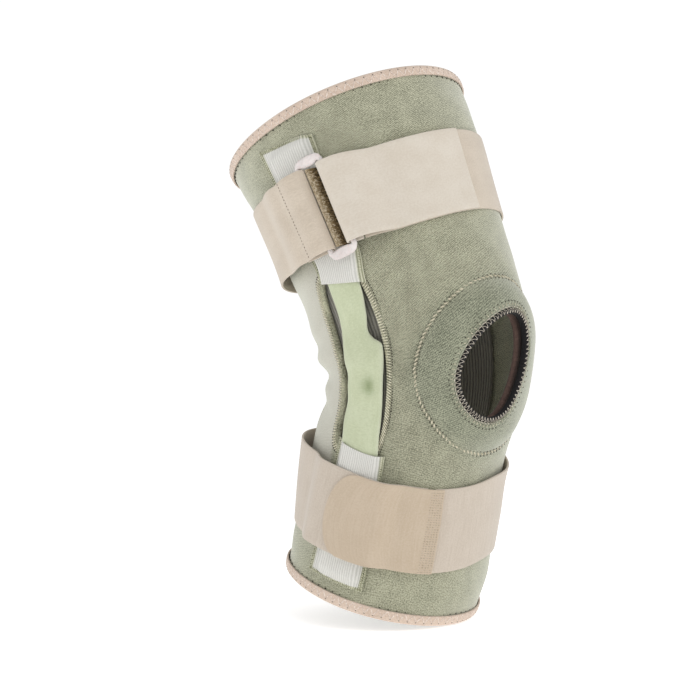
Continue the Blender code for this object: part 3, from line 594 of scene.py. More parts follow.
# Stitches round the pad: pale thread lying between two rows of dark needle holes, through all the layers.
seed_form = bmesh.new()
bmesh.ops.create_uvsphere(seed_form, u_segments=6, v_segments=4, radius=1.0)
SEED = bpy.data.meshes.new("seed")
seed_form.to_mesh(SEED)
seed_form.free()


def sewn(name, starts, ends, outs, radius, finish, flatness=0.7):
    """Row of short stitches, each a grain from its start to its end, flattened against the cloth."""
    form = bmesh.new()
    for start, end, out in zip(starts, ends, outs):
        along = Vector(end - start)
        half = along.length / 2 + radius * 0.35
        along.normalize()
        out = Vector(out).normalized()
        side = out.cross(along).normalized()
        out = along.cross(side)
        turned = Matrix((side * radius, out * radius * flatness, along * half)).transposed().to_4x4()
        matrix = Matrix.Translation(Vector(start + end) / 2) @ turned
        SEED.transform(matrix)
        form.from_mesh(SEED)
        SEED.transform(matrix.inverted())
    bmesh.ops.recalc_face_normals(form, faces=form.faces)
    mesh = bpy.data.meshes.new(name)
    form.to_mesh(mesh)
    form.free()
    return worn(name, mesh, finish)


def sewn_on(name, first, last, lift, radius, finish, mirrored=False):
    """Row of stitches over the sleeve, from the stations and angles of first to those of last."""
    flip = mirror(mirrored)
    middle = tuple((a + b) / 2 for a, b in zip(first, last))
    outs = limb(*middle, lift + 0.002) - limb(*middle, lift)
    starts, ends = limb(*first, lift), limb(*last, lift)
    return sewn(name, starts * flip, ends * flip, outs * flip, radius, finish)


OVAL_HALF_HEIGHT = 0.0549
OVAL_HALF_WIDTH = 0.0537


def oval(turn, grow=0.0):
    """Station and angle on the oval line of stitches round the pad."""
    across, rise = wheel(turn)
    station = np.interp((OVAL_HALF_HEIGHT + grow) * rise, FRONT_RUNS, STATIONS)
    return station, PAD_ANGLE + (OVAL_HALF_WIDTH + grow) * across * KNEE_ARC


PALE_THREAD = thread("pale_thread", (0.42, 0.38, 0.27), (0.66, 0.60, 0.46))
HOLE_SHADE = thread("hole_shade", (0.035, 0.030, 0.020), (0.070, 0.062, 0.045), 0.95)
PAD_STITCHES = 108
stray = np.random.default_rng(7).uniform(-1.0, 1.0, (4, PAD_STITCHES))
turns = round_steps(PAD_STITCHES) + 0.0008 * stray[0]
first, last = oval(turns, -0.0006 + 0.0003 * stray[1]), oval(turns + 0.0066, 0.0007 + 0.0003 * stray[2])
sewn_on("pad_stitches", first, last, -0.0004, 0.00058, PALE_THREAD)
holes = np.concatenate((turns, turns + 0.0045))
rows = np.concatenate((0.0013 + 0.0003 * stray[2], -0.0013 + 0.0003 * stray[3]))
sewn_on("pad_needle_holes", oval(holes + 0.0010, rows), oval(holes + 0.0021, rows), -0.0003, 0.00046,
        HOLE_SHADE)

# Pad behind the kneecap opening: a ring of dense foam in brown lining, thin at its outer edge.


def pad_place(u, v):
    """Points of the pad, its closed section swept round the opening."""
    inner, outer = patella_edge(-u, -0.0012), oval(-u, 0.002)
    across = 0.5 - 0.5 * np.cos(math.tau * v)
    half = PAD_THICKNESS / 2 * (1.0 - 0.6 * across * across) * blunted(np.sin(math.tau * v), 0.6)
    station = inner[0] + across * (outer[0] - inner[0])
    angle = inner[1] + across * (outer[1] - inner[1])
    return limb(station, angle, -SLEEVE_WALL - 0.0024 - PAD_THICKNESS / 2 + half)


PAD_LINING = cloth(
    "pad_lining", nap, (0.075, 0.045, 0.036), (0.150, 0.092, 0.074), (0.20, 0.14, 0.11), bump=0.6)
pad = laid("patella_pad", grid(96, 20), pad_place, (0.28, 0.07), PAD_LINING, closed=True)
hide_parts("patella_buttress")

# Overlocked edge of the kneecap opening: a black band with cream threads crossing over it in Vs, and outside
# it a ring of fine needle holes with the threads that come up through them.
TRIM_RADIUS = 0.0018
TRIM_HEIGHT = 0.0023


def on_trim(turn, section, proud=0.0):
    """Points on the band at a turn round the opening and an angle of its section."""
    station, angle = patella_edge(turn, -TRIM_RADIUS + (TRIM_RADIUS + proud) * np.cos(section))
    return limb(station, angle, -SLEEVE_WALL / 2 + (TRIM_HEIGHT + proud) * np.sin(section))


def trim_place(u, v):
    """Points of the band, rounded over the opening's edge."""
    return on_trim(-u, math.tau * v)


BLACK_BAND = cloth(
    "black_band", tape, (0.004, 0.004, 0.005), (0.022, 0.020, 0.020), (0.040, 0.038, 0.036),
    values={"Pitch": 0.0009}, bump=0.6, sheen=0.02)
trim = laid(
    "patella_trim_band", grid(200, 14), trim_place, (0.21, 0.015), BLACK_BAND, closed=True)
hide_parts("patella_trim")
CREAM_THREAD = thread("cream_thread", (0.40, 0.35, 0.28), (0.72, 0.66, 0.56))
TRIM_STITCHES = 70
turns = round_steps(TRIM_STITCHES)
trim_foot, trim_head = math.radians(18.0), math.radians(138.0)
bend = (trim_foot + trim_head) / 2
step = 0.5 / TRIM_STITCHES
for name, slant in (("trim_threads_rising", step), ("trim_threads_falling", -step)):
    feet, heads = on_trim(turns, trim_foot, 0.0002), on_trim(turns + slant, trim_head, 0.0002)
    crowns = on_trim(turns + slant / 2, bend, 0.0003)
    outs = on_trim(turns + slant / 2, bend, 0.002) - on_trim(turns + slant / 2, bend)
    sewn(name, np.concatenate((feet, crowns)), np.concatenate((crowns, heads)), np.tile(outs, (2, 1)),
         0.00021, CREAM_THREAD)
for name, near, later, far, lift, radius, finish in (
    ("trim_edge_threads", 0.0003, 0.7 / TRIM_STITCHES, 0.0006, 0.0, 0.00030, CREAM_THREAD),
    ("trim_outer_threads", 0.0012, 0.0012, 0.0028, 0.0001, 0.00026, PALE_THREAD),
):
    first, last = patella_edge(turns, near), patella_edge(turns + later, far)
    sewn_on(name, first, last, lift, radius, finish)
sewn_on("trim_needle_holes", patella_edge(turns + 0.0012, 0.0036), patella_edge(turns + 0.0014, 0.0042),
        0.0001, 0.00042, HOLE_SHADE)

# Hinge windows: behind each a ribbed grey lining, and round its edge a flecked tape held by cream loops of
# overlocking with a row of needle holes outside them.
LINING_FLAT = (0.046, 0.132)
LINING_CLOTH = cloth(
    "lining_cloth", tape, (0.135, 0.128, 0.110), (0.340, 0.325, 0.280), (0.30, 0.29, 0.26),
    values={"Pitch": 0.0022}, bump=0.8, depth=0.001)
EDGE_TAPE = cloth(
    "edge_tape", nap, (0.110, 0.110, 0.070), (0.66, 0.65, 0.47), (0.56, 0.55, 0.42),
    values={"Streak": 1.0}, bump=0.8, depth=0.001)
LOOP_THREAD = thread("loop_thread", (0.48, 0.45, 0.32), (0.78, 0.74, 0.58))


def lining_place(u, v):
    """Points of the lining's outer face."""
    arc = (u - 0.5) * LINING_FLAT[0] - WINDOW_REAR - WINDOW_SHIFT
    return limb(PIVOT + (v - 0.5) * LINING_FLAT[1], OUTER + arc * KNEE_ARC, -SLEEVE_WALL - 2 * GAP)


# The window's outline is drawn with even steps: its points are bunched at the quarter turns, where it runs
# fastest, and then read by length.
quarter = round_steps(240)
bent = quarter ** 2.4 / (quarter ** 2.4 + (1.0 - quarter) ** 2.4)
WINDOW_TURNS = np.append((np.arange(4)[:, None] + bent).ravel() / 4.0, 1.0)
window_spots = limb(*window_edge(WINDOW_TURNS))
window_run = np.concatenate(([0.0], np.cumsum(np.linalg.norm(np.diff(window_spots, axis=0), axis=1))))


def evenly(share):
    """Turn round the window's outline at a share of its length."""
    return np.interp(np.asarray(share) % 1.0 * window_run[-1], window_run, WINDOW_TURNS)


def window_tape_place(u, v):
    """Points of the narrow tape that covers the cut edge of the window, closed round its section."""
    outward, upward = wheel(v)
    station, angle = window_edge(-evenly(u), -0.0008 + 0.0014 * outward)
    return limb(station, angle, -SLEEVE_WALL / 2 + 0.0021 * upward)


WINDOW_LOOPS = round_steps(176)
for side, node, mirrored in (
    ("outer", "hinge_lining_lateral", False), ("inner", "hinge_lining_medial", True),
):
    lining = laid("window_lining_" + side, grid(30, 84), lining_place, LINING_FLAT, LINING_CLOTH,
                  mirrored)
    thicken(lining, 0.001, -1.0)
    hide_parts(node)
    laid("window_tape_" + side, grid(220, 12), window_tape_place, (0.30, 0.012), EDGE_TAPE,
         mirrored, closed=True)
    for name, near, later, far, lift, radius, finish in (
        ("window_loops_", 0.0016, 0.0035, -0.0017, 0.0006, 0.00042, LOOP_THREAD),
        # Needle holes: dark grains of painted shade.
        ("window_needle_holes_", 0.0021, 0.0022, 0.0021, 0.0, 0.00040, HOLE_SHADE),
    ):
        first = window_edge(evenly(WINDOW_LOOPS), near)
        last = window_edge(evenly(WINDOW_LOOPS + later), far)
        sewn_on(name + side, first, last, lift, radius, finish, mirrored)

# Hinge covers: a soft stretch-cloth sheath pulled over each metal hinge, swollen over its knuckle. The hinges
# inside are bent steel strip, hidden by the sheaths.
COVER_WIDTH = 0.0255
COVER_THICKNESS = 0.0042
COVER_TOP = 0.1405
COVER_FOOT = -0.119
POCKET_TOP = 0.1495
POCKET_FOOT = -0.128
COVER_SWELL = 0.0036
COVER_SINK = 0.002
ARM_PLACES = (-1.0, -0.70, -0.42, -0.28, -0.17, -0.09, 0.0, 0.06, 0.13, 0.22, 0.37, 0.60, 1.0)
ARM_SWELL = (0.0, 0.0, 0.0, 0.0, 0.25, 0.92, 1.0, 0.80, 0.15, 0.0, 0.0, 0.0, 0.0)
ARM_REAR = (0.0, 0.0, 0.04, 0.12, 0.09, 0.04, 0.0, 0.02, 0.08, 0.05, -0.09, -0.03, 0.0)


def along_arm(values, station):
    """Value at a station of a row of values along the hinge."""
    reach = np.where(station > PIVOT, COVER_TOP - PIVOT, PIVOT - COVER_FOOT)
    return smooth_curve(ARM_PLACES, values, np.clip((station - PIVOT) / reach, -1.0, 1.0))


def arm_angle(station):
    """Angle round the sleeve of the outer hinge's line."""
    return OUTER + 3.5 * ease((PIVOT - WINDOW_HALF_HEIGHT - station) / (CALF_LENGTH / 2))


# Distances of the sheath's two edges from the hinge's line, positive to the front, along its stations.
COVER_FRONT = (
    (-0.119, -0.09, -0.0483, -0.03, -0.0114, -0.0033, 0.0085, 0.0125,
     0.0170, 0.0195, 0.0215, 0.0352, 0.0482, 0.0582, 0.09, 0.1405),
    (0.0113, 0.0108, 0.0102, 0.0070, 0.0067, 0.0072, 0.0085, 0.0088,
     0.0080, 0.0050, 0.0035, 0.0047, 0.0083, 0.0100, 0.0108, 0.0112),
)
COVER_REAR = (
    (-0.119, -0.09, -0.0483, -0.0293, -0.008, 0.0018,
     0.012, 0.027, 0.0431, 0.0582, 0.09, 0.1405),
    (-0.0113, -0.0120, -0.0152, -0.0185, -0.0170, -0.0155,
     -0.0170, -0.0160, -0.0126, -0.0108, -0.0100, -0.0108),
)


def cover_base(station):
    """Lift of the sheath's underside, which sinks into the window."""
    return GAP - COVER_SINK * (1.0 - ease((np.abs(station - PIVOT) / 0.122 - 0.26) / 0.13))


def cover_place(u, v):
    """Points of the sheath, a flattened tube along the hinge."""
    station = COVER_FOOT + v * (COVER_TOP - COVER_FOOT)
    cosine, sine = wheel(-u)
    front, rear = smooth_curve(*COVER_FRONT, station), smooth_curve(*COVER_REAR, station)
    across = (front + rear) / 2 + blunted(sine, 0.8) * (front - rear) / 2
    half = (COVER_THICKNESS + COVER_SWELL * np.maximum(along_arm(ARM_SWELL, station), 0.0)) / 2
    lift = cover_base(station) + half - blunted(cosine, 0.75) * half
    slack = 0.0003 * np.sin(station * 260.0) * np.sin(station * 97.0 + 1.0) * (1.0 - cosine)
    dimple = 0.0007 * np.exp(-((station + 0.0075) / 0.0055) ** 2 - ((across - 0.0008) / 0.0042) ** 2)
    angle = arm_angle(station) + np.degrees(across / (side_radius(station) + lift))
    return limb(station, angle, lift + np.where(cosine < 0, slack - dimple, 0.0))


COVER_CLOTH = cloth(
    "cover_cloth", nap, (0.465, 0.505, 0.335), (0.550, 0.590, 0.415), (0.62, 0.65, 0.50),
    values={"Streak": 3.0}, bump=0.2, painted_sheen_share=0.35, sheen=0.1,
    tone=(("dimple", (0.17, 0.22, 0.10), (0.23, 0.28, 0.14)),
          ("seam_side", (0.60, 0.63, 0.49), (0.68, 0.70, 0.57))))


def dimpled(u, v):
    """Share of the shaded hollow under the knuckle's rivet."""
    station = COVER_FOOT + v * (COVER_TOP - COVER_FOOT)
    return 0.85 * np.exp(-((station + 0.0070) / 0.0052) ** 2 - ((u - 0.555) / 0.050) ** 2)


def seam_side(u, v):
    """Share of the paler, rubbed cloth along the sheath's two edges."""
    return 0.5 * np.exp(-((np.abs(u - 0.5) - 0.25) / 0.05) ** 2)


def hinge_place(u, v):
    """Points of the steel strip inside the sheath, a flat bar that widens to a disc at the knuckle."""
    station = COVER_FOOT + 0.004 + v * (COVER_TOP - COVER_FOOT - 0.008)
    cosine, sine = wheel(-u)
    middle = (smooth_curve(*COVER_FRONT, station) + smooth_curve(*COVER_REAR, station)) / 2
    half = 0.0055 + 0.0030 * np.exp(-((station - PIVOT) / 0.010) ** 4)
    across = middle + blunted(sine, 0.3) * half
    lift = cover_base(station) + COVER_THICKNESS / 2 - 0.0008 * blunted(cosine, 0.3)
    return limb(station, arm_angle(station) + np.degrees(across / (side_radius(station) + lift)), lift)


steel, tree, output = blank("hinge_steel")
spot = put(tree, "ShaderNodeMapping", {
    "Vector": put(tree, "ShaderNodeTexCoord").outputs["Object"], "Scale": (60.0, 60.0, 900.0)})
brushing = noise(tree, spot.outputs["Vector"], 1.0, 3.0)
metal = put(tree, "ShaderNodeBsdfPrincipled", {
    "Base Color": (0.56, 0.56, 0.58, 1.0), "Metallic": 1.0,
    "Roughness": remap(tree, brushing, 0.2, 0.8, 0.25, 0.5)})
tree.links.new(metal.outputs["BSDF"], output.inputs["Surface"])
SIDES = (("lateral", False), ("medial", True))
for side, mirrored in SIDES:
    cover = laid("hinge_sheath_" + side, grid(48, 180), cover_place, (0.054, 0.26), COVER_CLOTH,
                 mirrored, closed=True, marks=(("dimple", dimpled), ("seam_side", seam_side)))
    thicken(cover, 0.0008, -1.0)
    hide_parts("hinge_cover_" + side)
    strip = laid("hinge_strip_" + side, grid(24, 160), hinge_place, (0.026, 0.25), steel,
                 mirrored, closed=True)
    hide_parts("hinge_" + side)

# Hinge pockets: short lengths of white ribbed webbing sewn over the ends of each sheath, their edges
# overlocked in khaki thread.
POCKET_WALL = 0.001
POCKET_SHIFT = 0.00175


def pocket_place(low, high, widths, slants, dip):
    """Function for the points of a tape that bulges over the sheath's end; dip hollows its upper edge."""
    def place(u, v, proud=0.0):
        half = (widths[0] + v * (widths[1] - widths[0])) / 2
        across = (2.0 * u - 1.0) * half
        low_end = low - slants[0] * across / COVER_WIDTH
        high_end = high - slants[1] * across / COVER_WIDTH - dip * 4.0 * u * (1.0 - u)
        station = low_end + v * (high_end - low_end)
        past = np.maximum(station - COVER_TOP, COVER_FOOT - station)
        over = (1.0 - ease(past / 0.009)) * (1.0 - ease((np.abs(across - POCKET_SHIFT) - 0.0111) / 0.0050))
        rear = along_arm(ARM_REAR, station) * COVER_WIDTH + POCKET_SHIFT
        rear = rear + 0.0045 * (1.0 - ease((station - 0.0535) / 0.022)) * (station > 0.0)
        angle = arm_angle(station) + np.degrees((across - rear) / (side_radius(station) + 0.0046))
        return limb(station, angle, GAP + (COVER_THICKNESS + GAP) * over + proud)
    return place


POCKET_TAPE = cloth(
    "pocket_tape", tape, (0.53, 0.525, 0.485), (0.72, 0.71, 0.67), (0.66, 0.65, 0.62),
    values={"Pitch": 0.0015}, bump=0.5, depth=0.0007, painted_sheen_share=0.4,
    tone=(("border", (0.20, 0.21, 0.12), (0.62, 0.61, 0.47)),))
KHAKI_THREAD = thread("khaki_thread", (0.120, 0.130, 0.065), (0.50, 0.49, 0.34))
UPPER_POCKET = pocket_place(0.0572, POCKET_TOP, (0.0345, 0.0405), (0.0097, 0.0055), 0.0)
LOWER_POCKET = pocket_place(POCKET_FOOT, -0.0452, (0.0435, 0.0355), (0.0, 0.0011), 0.0017)


def border(sewn_end):
    """Function for the share of the overlocked border along a pocket's sides and its sewn end, 0 or 1."""
    def share(u, v):
        sides = ease((np.abs(u - 0.5) - 0.410) / 0.02)
        return np.maximum(sides, 1.0 - ease((np.abs(v - sewn_end) - 0.022) / 0.008))
    return share


SIDE_STITCHES = 62
END_STITCHES = 32
side_v = np.tile(np.linspace(0.005, 0.985, SIDE_STITCHES), 2)
end_u = np.linspace(0.02, 0.96, END_STITCHES)
near_u = np.concatenate((np.repeat((0.004, 0.996), SIDE_STITCHES), end_u))
far_u = np.concatenate((np.repeat((0.07, 0.93), SIDE_STITCHES), end_u + 0.03))
for side, mirrored in SIDES:
    for part, place, flat, sewn_end in (
        ("upper_pocket_", UPPER_POCKET, (0.0395, 0.094), 1.0),
        ("lower_pocket_", LOWER_POCKET, (0.0415, 0.083), 0.0),
    ):
        pocket = laid(part + "tape_" + side, grid(64, 120), place, flat, POCKET_TAPE,
                      mirrored, marks=(("border", border(sewn_end)),))
        thicken(pocket, POCKET_WALL, 1.0, 0.0003)
        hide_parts(part + side)
        first = near_u, np.concatenate((side_v, np.full(END_STITCHES, abs(sewn_end - 0.004))))
        last = far_u, np.concatenate((side_v + 0.014, np.full(END_STITCHES, abs(sewn_end - 0.030))))
        outs = (place(*first, 0.003) - place(*first)) * mirror(mirrored)
        starts, ends = (place(*spots, POCKET_WALL) * mirror(mirrored) for spots in (first, last))
        sewn(part + "overlock_" + side, starts, ends, outs, 0.00038, KHAKI_THREAD)

# Thigh strap: cream elastic sewn round the ring's rear bar, which goes round behind the thigh and comes back
# over the front to the ring's front bar. The stitched end of its loop shows beside the ring.
STRAP_WALL = 0.0014
THIGH_STRAP_WIDTH = 0.0535
THIGH_WEB_WIDTH = 0.0508
CALF_STRAP_WIDTH = 0.0505
THIGH_STRAP_PLACE = 0.094248
THIGH_STRAP_RISE = 0.0185
CALF_STRAP_PLACE = -0.0852
CALF_STRAP_RISE = 0.0135
STRAP_FLARE = 0.0055
THIGH_STRAP_RUN = (
    # angles, rises, flares
    (-180.0, -134.0, -90.0, -45.0, 0.0, 45.0, 90.0, 134.0, 180.0),
    (0.82, 0.64, 0.28, 0.14, 0.24, 0.34, 0.42, 0.66, 0.82),
    (1.0, 1.0, 0.0, 0.0, 0.0, 0.0, 0.0, 1.0, 1.0),
)
CALF_STRAP_RUN = (
    # angles, rises, flares
    (-180.0, -134.0, -95.0, -60.0, -35.0, -15.0, 5.0, 35.0, 75.0, 110.0, 145.0, 180.0),
    (0.0, 0.0, 0.0, 0.08, 0.22, 0.48, 0.82, 1.0, 1.22, 0.75, 0.10, 0.0),
    (1.0, 1.0, 0.0, 0.0, 0.02, 0.20, 0.38, 0.40, 0.0, 0.20, 1.0, 1.0),
)
LOW = GAP + STRAP_WALL / 2
OVER_POCKET = 2 * GAP + COVER_THICKNESS + POCKET_WALL + GAP + STRAP_WALL / 2
LAYER = STRAP_WALL + GAP
SEWN_END = -100.5
TAB_CLOSING = -52.0
SLOPE = 14.0
PATH_STEP = 1.5


def strap_run(run, middle, rise, width, loose_edge):
    """Function for a strap's stations, angles and lifts: share 0 is its lower edge and 1 its upper.

    loose_edge is the share of the edge that flares away from the sleeve.
    """
    angles, rises, flares = run

    def place(angle, share, lift):
        turned = wrapped(angle)
        station = middle + rise * smooth_curve(angles, rises, turned) + (share - 0.5) * width
        flare = STRAP_FLARE * np.maximum(0.0, smooth_curve(angles, flares, turned))
        return station, angle, lift + flare * np.abs(share + loose_edge - 1.0)

    return place


def eased_rows(rows, angle):
    """Lifts at angles of a table of angles and lifts, eased from row to row."""
    angle = np.asarray(angle, float)
    lifts = np.full(angle.shape, rows[-1][1])
    for (low, low_lift), (high, high_lift) in zip(rows, rows[1:]):
        share = (angle - low) / (high - low)
        lifts = np.where((share >= 0) & (share <= 1), low_lift + (high_lift - low_lift) * ease(share), lifts)
    return lifts


def along(rows, start, end):
    """Path of angles and lifts from start to end over the rows of a table."""
    angles = np.linspace(start, end, round(abs(end - start) / PATH_STEP) + 1)
    return list(zip(angles, eased_rows(rows, angles)))


def over_hinge(middle, edge):
    """Rows of angles and lifts that carry a strap over a hinge's pocket."""
    return ((middle + edge + SLOPE, LOW), (middle + edge, OVER_POCKET),
            (middle - edge, OVER_POCKET), (middle - edge - SLOPE, LOW))


def ribbon(name, path, place, flat, finish):
    """Flat strap along a path of angles and lifts."""
    angles, lifts = (np.array(column) for column in zip(*path))

    def strap_point(u, v):
        index = np.rint(u * (len(path) - 1)).astype(int)
        return place(angles[index], v, lifts[index])

    item = laid(name, grid(len(path) - 1, 16), strap_point, flat, finish)
    return thicken(item, STRAP_WALL, 0.0, 0.0004)


thigh_run = strap_run(THIGH_STRAP_RUN, THIGH_STRAP_PLACE, THIGH_STRAP_RISE, THIGH_WEB_WIDTH, 0.0)
RING_ANGLE = -79.9
RING_BAR = 0.0034
RING_WIDTH = 0.0195
EDGE_ROOM = 5.5
RING_STATION = float(thigh_run(RING_ANGLE, 0.5, 0.0)[0])
FOLD_RADIUS = RING_BAR / 2 + 0.0010 + STRAP_WALL / 2
RING_LIFT = OVER_POCKET + FOLD_RADIUS
RING_RADIUS = float(side_radius(RING_STATION)) + RING_LIFT
BAR_REACH = (RING_WIDTH - RING_BAR) / 2
BAR_TURN = math.degrees(math.atan2(BAR_REACH, RING_RADIUS))
BAR_LIFT = RING_LIFT + math.hypot(RING_RADIUS, BAR_REACH) - RING_RADIUS
REAR_BAR = RING_ANGLE - BAR_TURN
FRONT_BAR = RING_ANGLE + BAR_TURN
UNDER_BAR = BAR_LIFT - FOLD_RADIUS
OVER_BAR = BAR_LIFT + FOLD_RADIUS
THIGH_EDGE = math.degrees(COVER_WIDTH / 2 / float(side_radius(RING_STATION))) + EDGE_ROOM

# The ring is straight and the sleeve under it is not: its line touches the sleeve's highest point under the
# strap, and near it the strap and the tab leave the sleeve to follow that line.
chord_foot, chord_top = limb(RING_STATION + np.array((-0.5, 0.5)) * THIGH_STRAP_WIDTH, RING_ANGLE)
ring_along = (chord_top - chord_foot) / np.linalg.norm(chord_top - chord_foot)
ring_out = limb(RING_STATION, RING_ANGLE, RING_LIFT) - limb(RING_STATION, RING_ANGLE)
ring_out = ring_out - ring_along * (ring_out @ ring_along)
ring_out = ring_out / np.linalg.norm(ring_out)


def over_chord(station):
    """Height of the sleeve over the straight line between the strap's two edges at the ring."""
    return (limb(station, RING_ANGLE) - chord_foot) @ ring_out


RING_TOUCH = np.max(over_chord(RING_STATION + np.linspace(-0.5, 0.5, 9) * THIGH_STRAP_WIDTH))


def thigh_place(angle, share, lift):
    """Points of the thigh strap or its tab."""
    station, angle, lift = thigh_run(angle, share, lift)
    near = 1.0 - ease((np.abs(wrapped(angle - RING_ANGLE)) - BAR_TURN - 6.0) / SLOPE)
    return limb(station, angle, lift + near * (RING_TOUCH - over_chord(station)))


def round_bar(bar, start, end):
    """Angles and lifts of a strap turning round a bar of the ring."""
    turns = np.radians(np.linspace(start, end, 19))
    angles = bar + np.degrees(FOLD_RADIUS * np.cos(turns) / RING_RADIUS)
    return list(zip(angles, BAR_LIFT + FOLD_RADIUS * np.sin(turns)))


thigh_rows = (
    (REAR_BAR - 4.0, OVER_BAR),
    (SEWN_END - 1.0, UNDER_BAR + LAYER),
    (SEWN_END - 1.5 * SLOPE, LOW),
    *over_hinge(INNER, THIGH_EDGE),
    (-360.0 + TAB_CLOSING, LOW),
    (-360.0 + FRONT_BAR + 4.6, UNDER_BAR - 2 * GAP),
)
THIGH_ELASTIC = cloth(
    "thigh_elastic", nap, (0.505, 0.430, 0.345), (0.605, 0.525, 0.430), (0.62, 0.58, 0.52),
    values={"Streak": 0.35}, bump=0.3, painted_sheen_share=0.4)
thigh_path = [(SEWN_END, UNDER_BAR), (REAR_BAR - 6.0, UNDER_BAR)] + round_bar(REAR_BAR, -90.0, 90.0)
thigh_path += along(thigh_rows, thigh_rows[0][0], thigh_rows[-1][0])
THIGH_FLAT = (0.49, THIGH_WEB_WIDTH)
thigh_strap = ribbon(
    "thigh_elastic_strap", thigh_path, thigh_place, THIGH_FLAT, THIGH_ELASTIC)
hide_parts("thigh_strap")


def on_strap(place, angle, share, lift):
    """Points on a strap's outer face and their outward directions."""
    return place(angle, share, lift), place(angle, share, lift + 0.002) - place(angle, share, lift)


DARK_THREAD = thread("dark_thread", (0.16, 0.125, 0.095), (0.34, 0.28, 0.22))
SEAM_THREAD = thread("seam_thread", (0.36, 0.29, 0.21), (0.52, 0.44, 0.35))
LOOP_STITCHES = 24
shares = np.linspace(0.03, 0.97, LOOP_STITCHES)
loop_angles = np.full(LOOP_STITCHES, SEWN_END + 4.0)
loop_lift = eased_rows(thigh_rows, loop_angles) + STRAP_WALL / 2
starts, outs = on_strap(thigh_place, loop_angles, shares, loop_lift)
ends = thigh_place(loop_angles + 0.3, shares + 0.018, loop_lift)
sewn("thigh_loop_stitches", starts, ends, outs, 0.00058, DARK_THREAD)

# Ring: one piece of moulded plastic, a rounded rectangle of round bar, with a strip of brown velour behind
# it, the pile of which stands up beside the strap's loop.
ring_middle = limb(RING_STATION, RING_ANGLE, RING_LIFT + RING_TOUCH - over_chord(RING_STATION))
ring_across = np.cross(ring_along, ring_out)
ring_across = ring_across / np.linalg.norm(ring_across)
RING_REACH = THIGH_STRAP_WIDTH / 2 + 0.0007 + RING_BAR / 2
STRAIGHT_SHARE = 0.166


def ring_place(u, v):
    """Points of the ring: two straight bars, where the turn hardly rises, joined by wider rounded ends."""
    side, rise = wheel(u)
    straight = np.abs(rise) < STRAIGHT_SHARE
    across = BAR_REACH * np.where(straight, np.sign(side), np.clip(1.02 * blunted(side, 0.62), -1.0, 1.0))
    along_bar = rise * 6.0 * (RING_REACH - BAR_REACH * 0.29)
    along_end = np.sign(rise) * (RING_REACH - BAR_REACH * 0.35 * (1.0 - np.abs(rise)))
    reach = np.where(straight, along_bar, along_end)
    outward, sideways = np.where(straight, 0.0, rise), np.where(straight, np.sign(side), side)
    edge, height = wheel(v)
    edge = edge * RING_BAR / 2 * (1.0 + 0.90 * ease(np.abs(outward) * 1.6 - 0.6))
    flat = np.stack((across + edge * sideways, reach + edge * outward, height * RING_BAR / 2), axis=-1)
    return ring_middle + flat @ np.stack((ring_across, ring_along, ring_out))


plastic, tree, output = blank("ring_plastic")
spot = put(tree, "ShaderNodeTexCoord").outputs["Object"]
clouding = remap(tree, noise(tree, spot, 70.0), 0.3, 0.7)
wear = noise(tree, spot, 600.0, 3.0)
coated(tree, output, wear, 0.08, 0.0003, {
    "Base Color": blend(tree, clouding, (0.62, 0.55, 0.53), (0.76, 0.70, 0.68)),
    "Roughness": remap(tree, wear, 0.3, 0.7, 0.22, 0.38), "Coat Weight": 0.3, "Coat Roughness": 0.2,
    "Subsurface Weight": 0.3, "Subsurface Radius": (0.004, 0.003, 0.003)})
ring = laid("ring_moulding", grid(160, 16), ring_place, (0.16, 0.0107), plastic, closed=True)
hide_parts("strap_ring")

# The velour is painted light beside the strap's loop and painted dark in the tab's shadow.
VELOUR = cloth(
    "velour", nap, (0.095, 0.058, 0.018), (0.300, 0.215, 0.105), (0.30, 0.23, 0.14),
    values={"Streak": 0.4}, bump=1.0, depth=0.0015, sheen=0.1,
    tone=(("deep", (0.012, 0.007, 0.002), (0.075, 0.050, 0.018)),
          ("bright", (0.34, 0.26, 0.15), (0.66, 0.56, 0.42))))


def deep(u, v):
    """Share of the shaded velour next to the tab."""
    return ease((u - 0.28) / 0.42)


def bright(u, v):
    """Share of the velour beside the strap's loop, where its pile stands up, painted light out of the tab's
    shadow.
    """
    return 1.0 - ease((u - 0.04) / 0.24)


def backing_place(u, v):
    """Points of the velour strip on the pocket between the ring's bars."""
    angle = REAR_BAR + 3.35 + u * (FRONT_BAR - REAR_BAR - 5.55)
    crown = 0.0040 * (1.0 - ease(u / 0.75))
    return thigh_place(angle, 0.01 + 0.98 * v, OVER_POCKET - STRAP_WALL / 2 + 0.0002 + crown)


backing = laid("ring_backing", grid(16, 60), backing_place, (0.0125, 0.0498), VELOUR,
               marks=(("deep", deep), ("bright", bright)))
thicken(backing, 0.0008, 1.0, 0.0003)
# The pile's colours follow that painted light and shade: pale hairs by the loop, dark ones towards the tab.
for name, count, near, far, dark, light in (
    ("velour_pale_pile", 420, 0.0, 0.30, (0.30, 0.22, 0.12), (0.68, 0.59, 0.44)),
    ("velour_brown_pile", 420, 0.25, 0.85, (0.05, 0.03, 0.01), (0.30, 0.21, 0.10)),
):
    draws = np.random.default_rng(count + round(far * 100)).uniform(0.0, 1.0, (4, count))
    root_u, root_v = near + (far - near) * draws[0], 0.01 + 0.96 * draws[1]
    tip_u = np.minimum(root_u + 0.08 + 0.20 * draws[2], 0.97)
    tip_v = np.clip(root_v - 0.030 + 0.045 * draws[3], 0.01, 0.99)
    roots, tips = backing_place(root_u, root_v), backing_place(tip_u, tip_v)
    sewn(name, roots + 0.0009 * ring_out, tips + 0.0014 * ring_out, np.tile(ring_out, (count, 1)), 0.00017,
         thread(name, dark, light, 0.9))

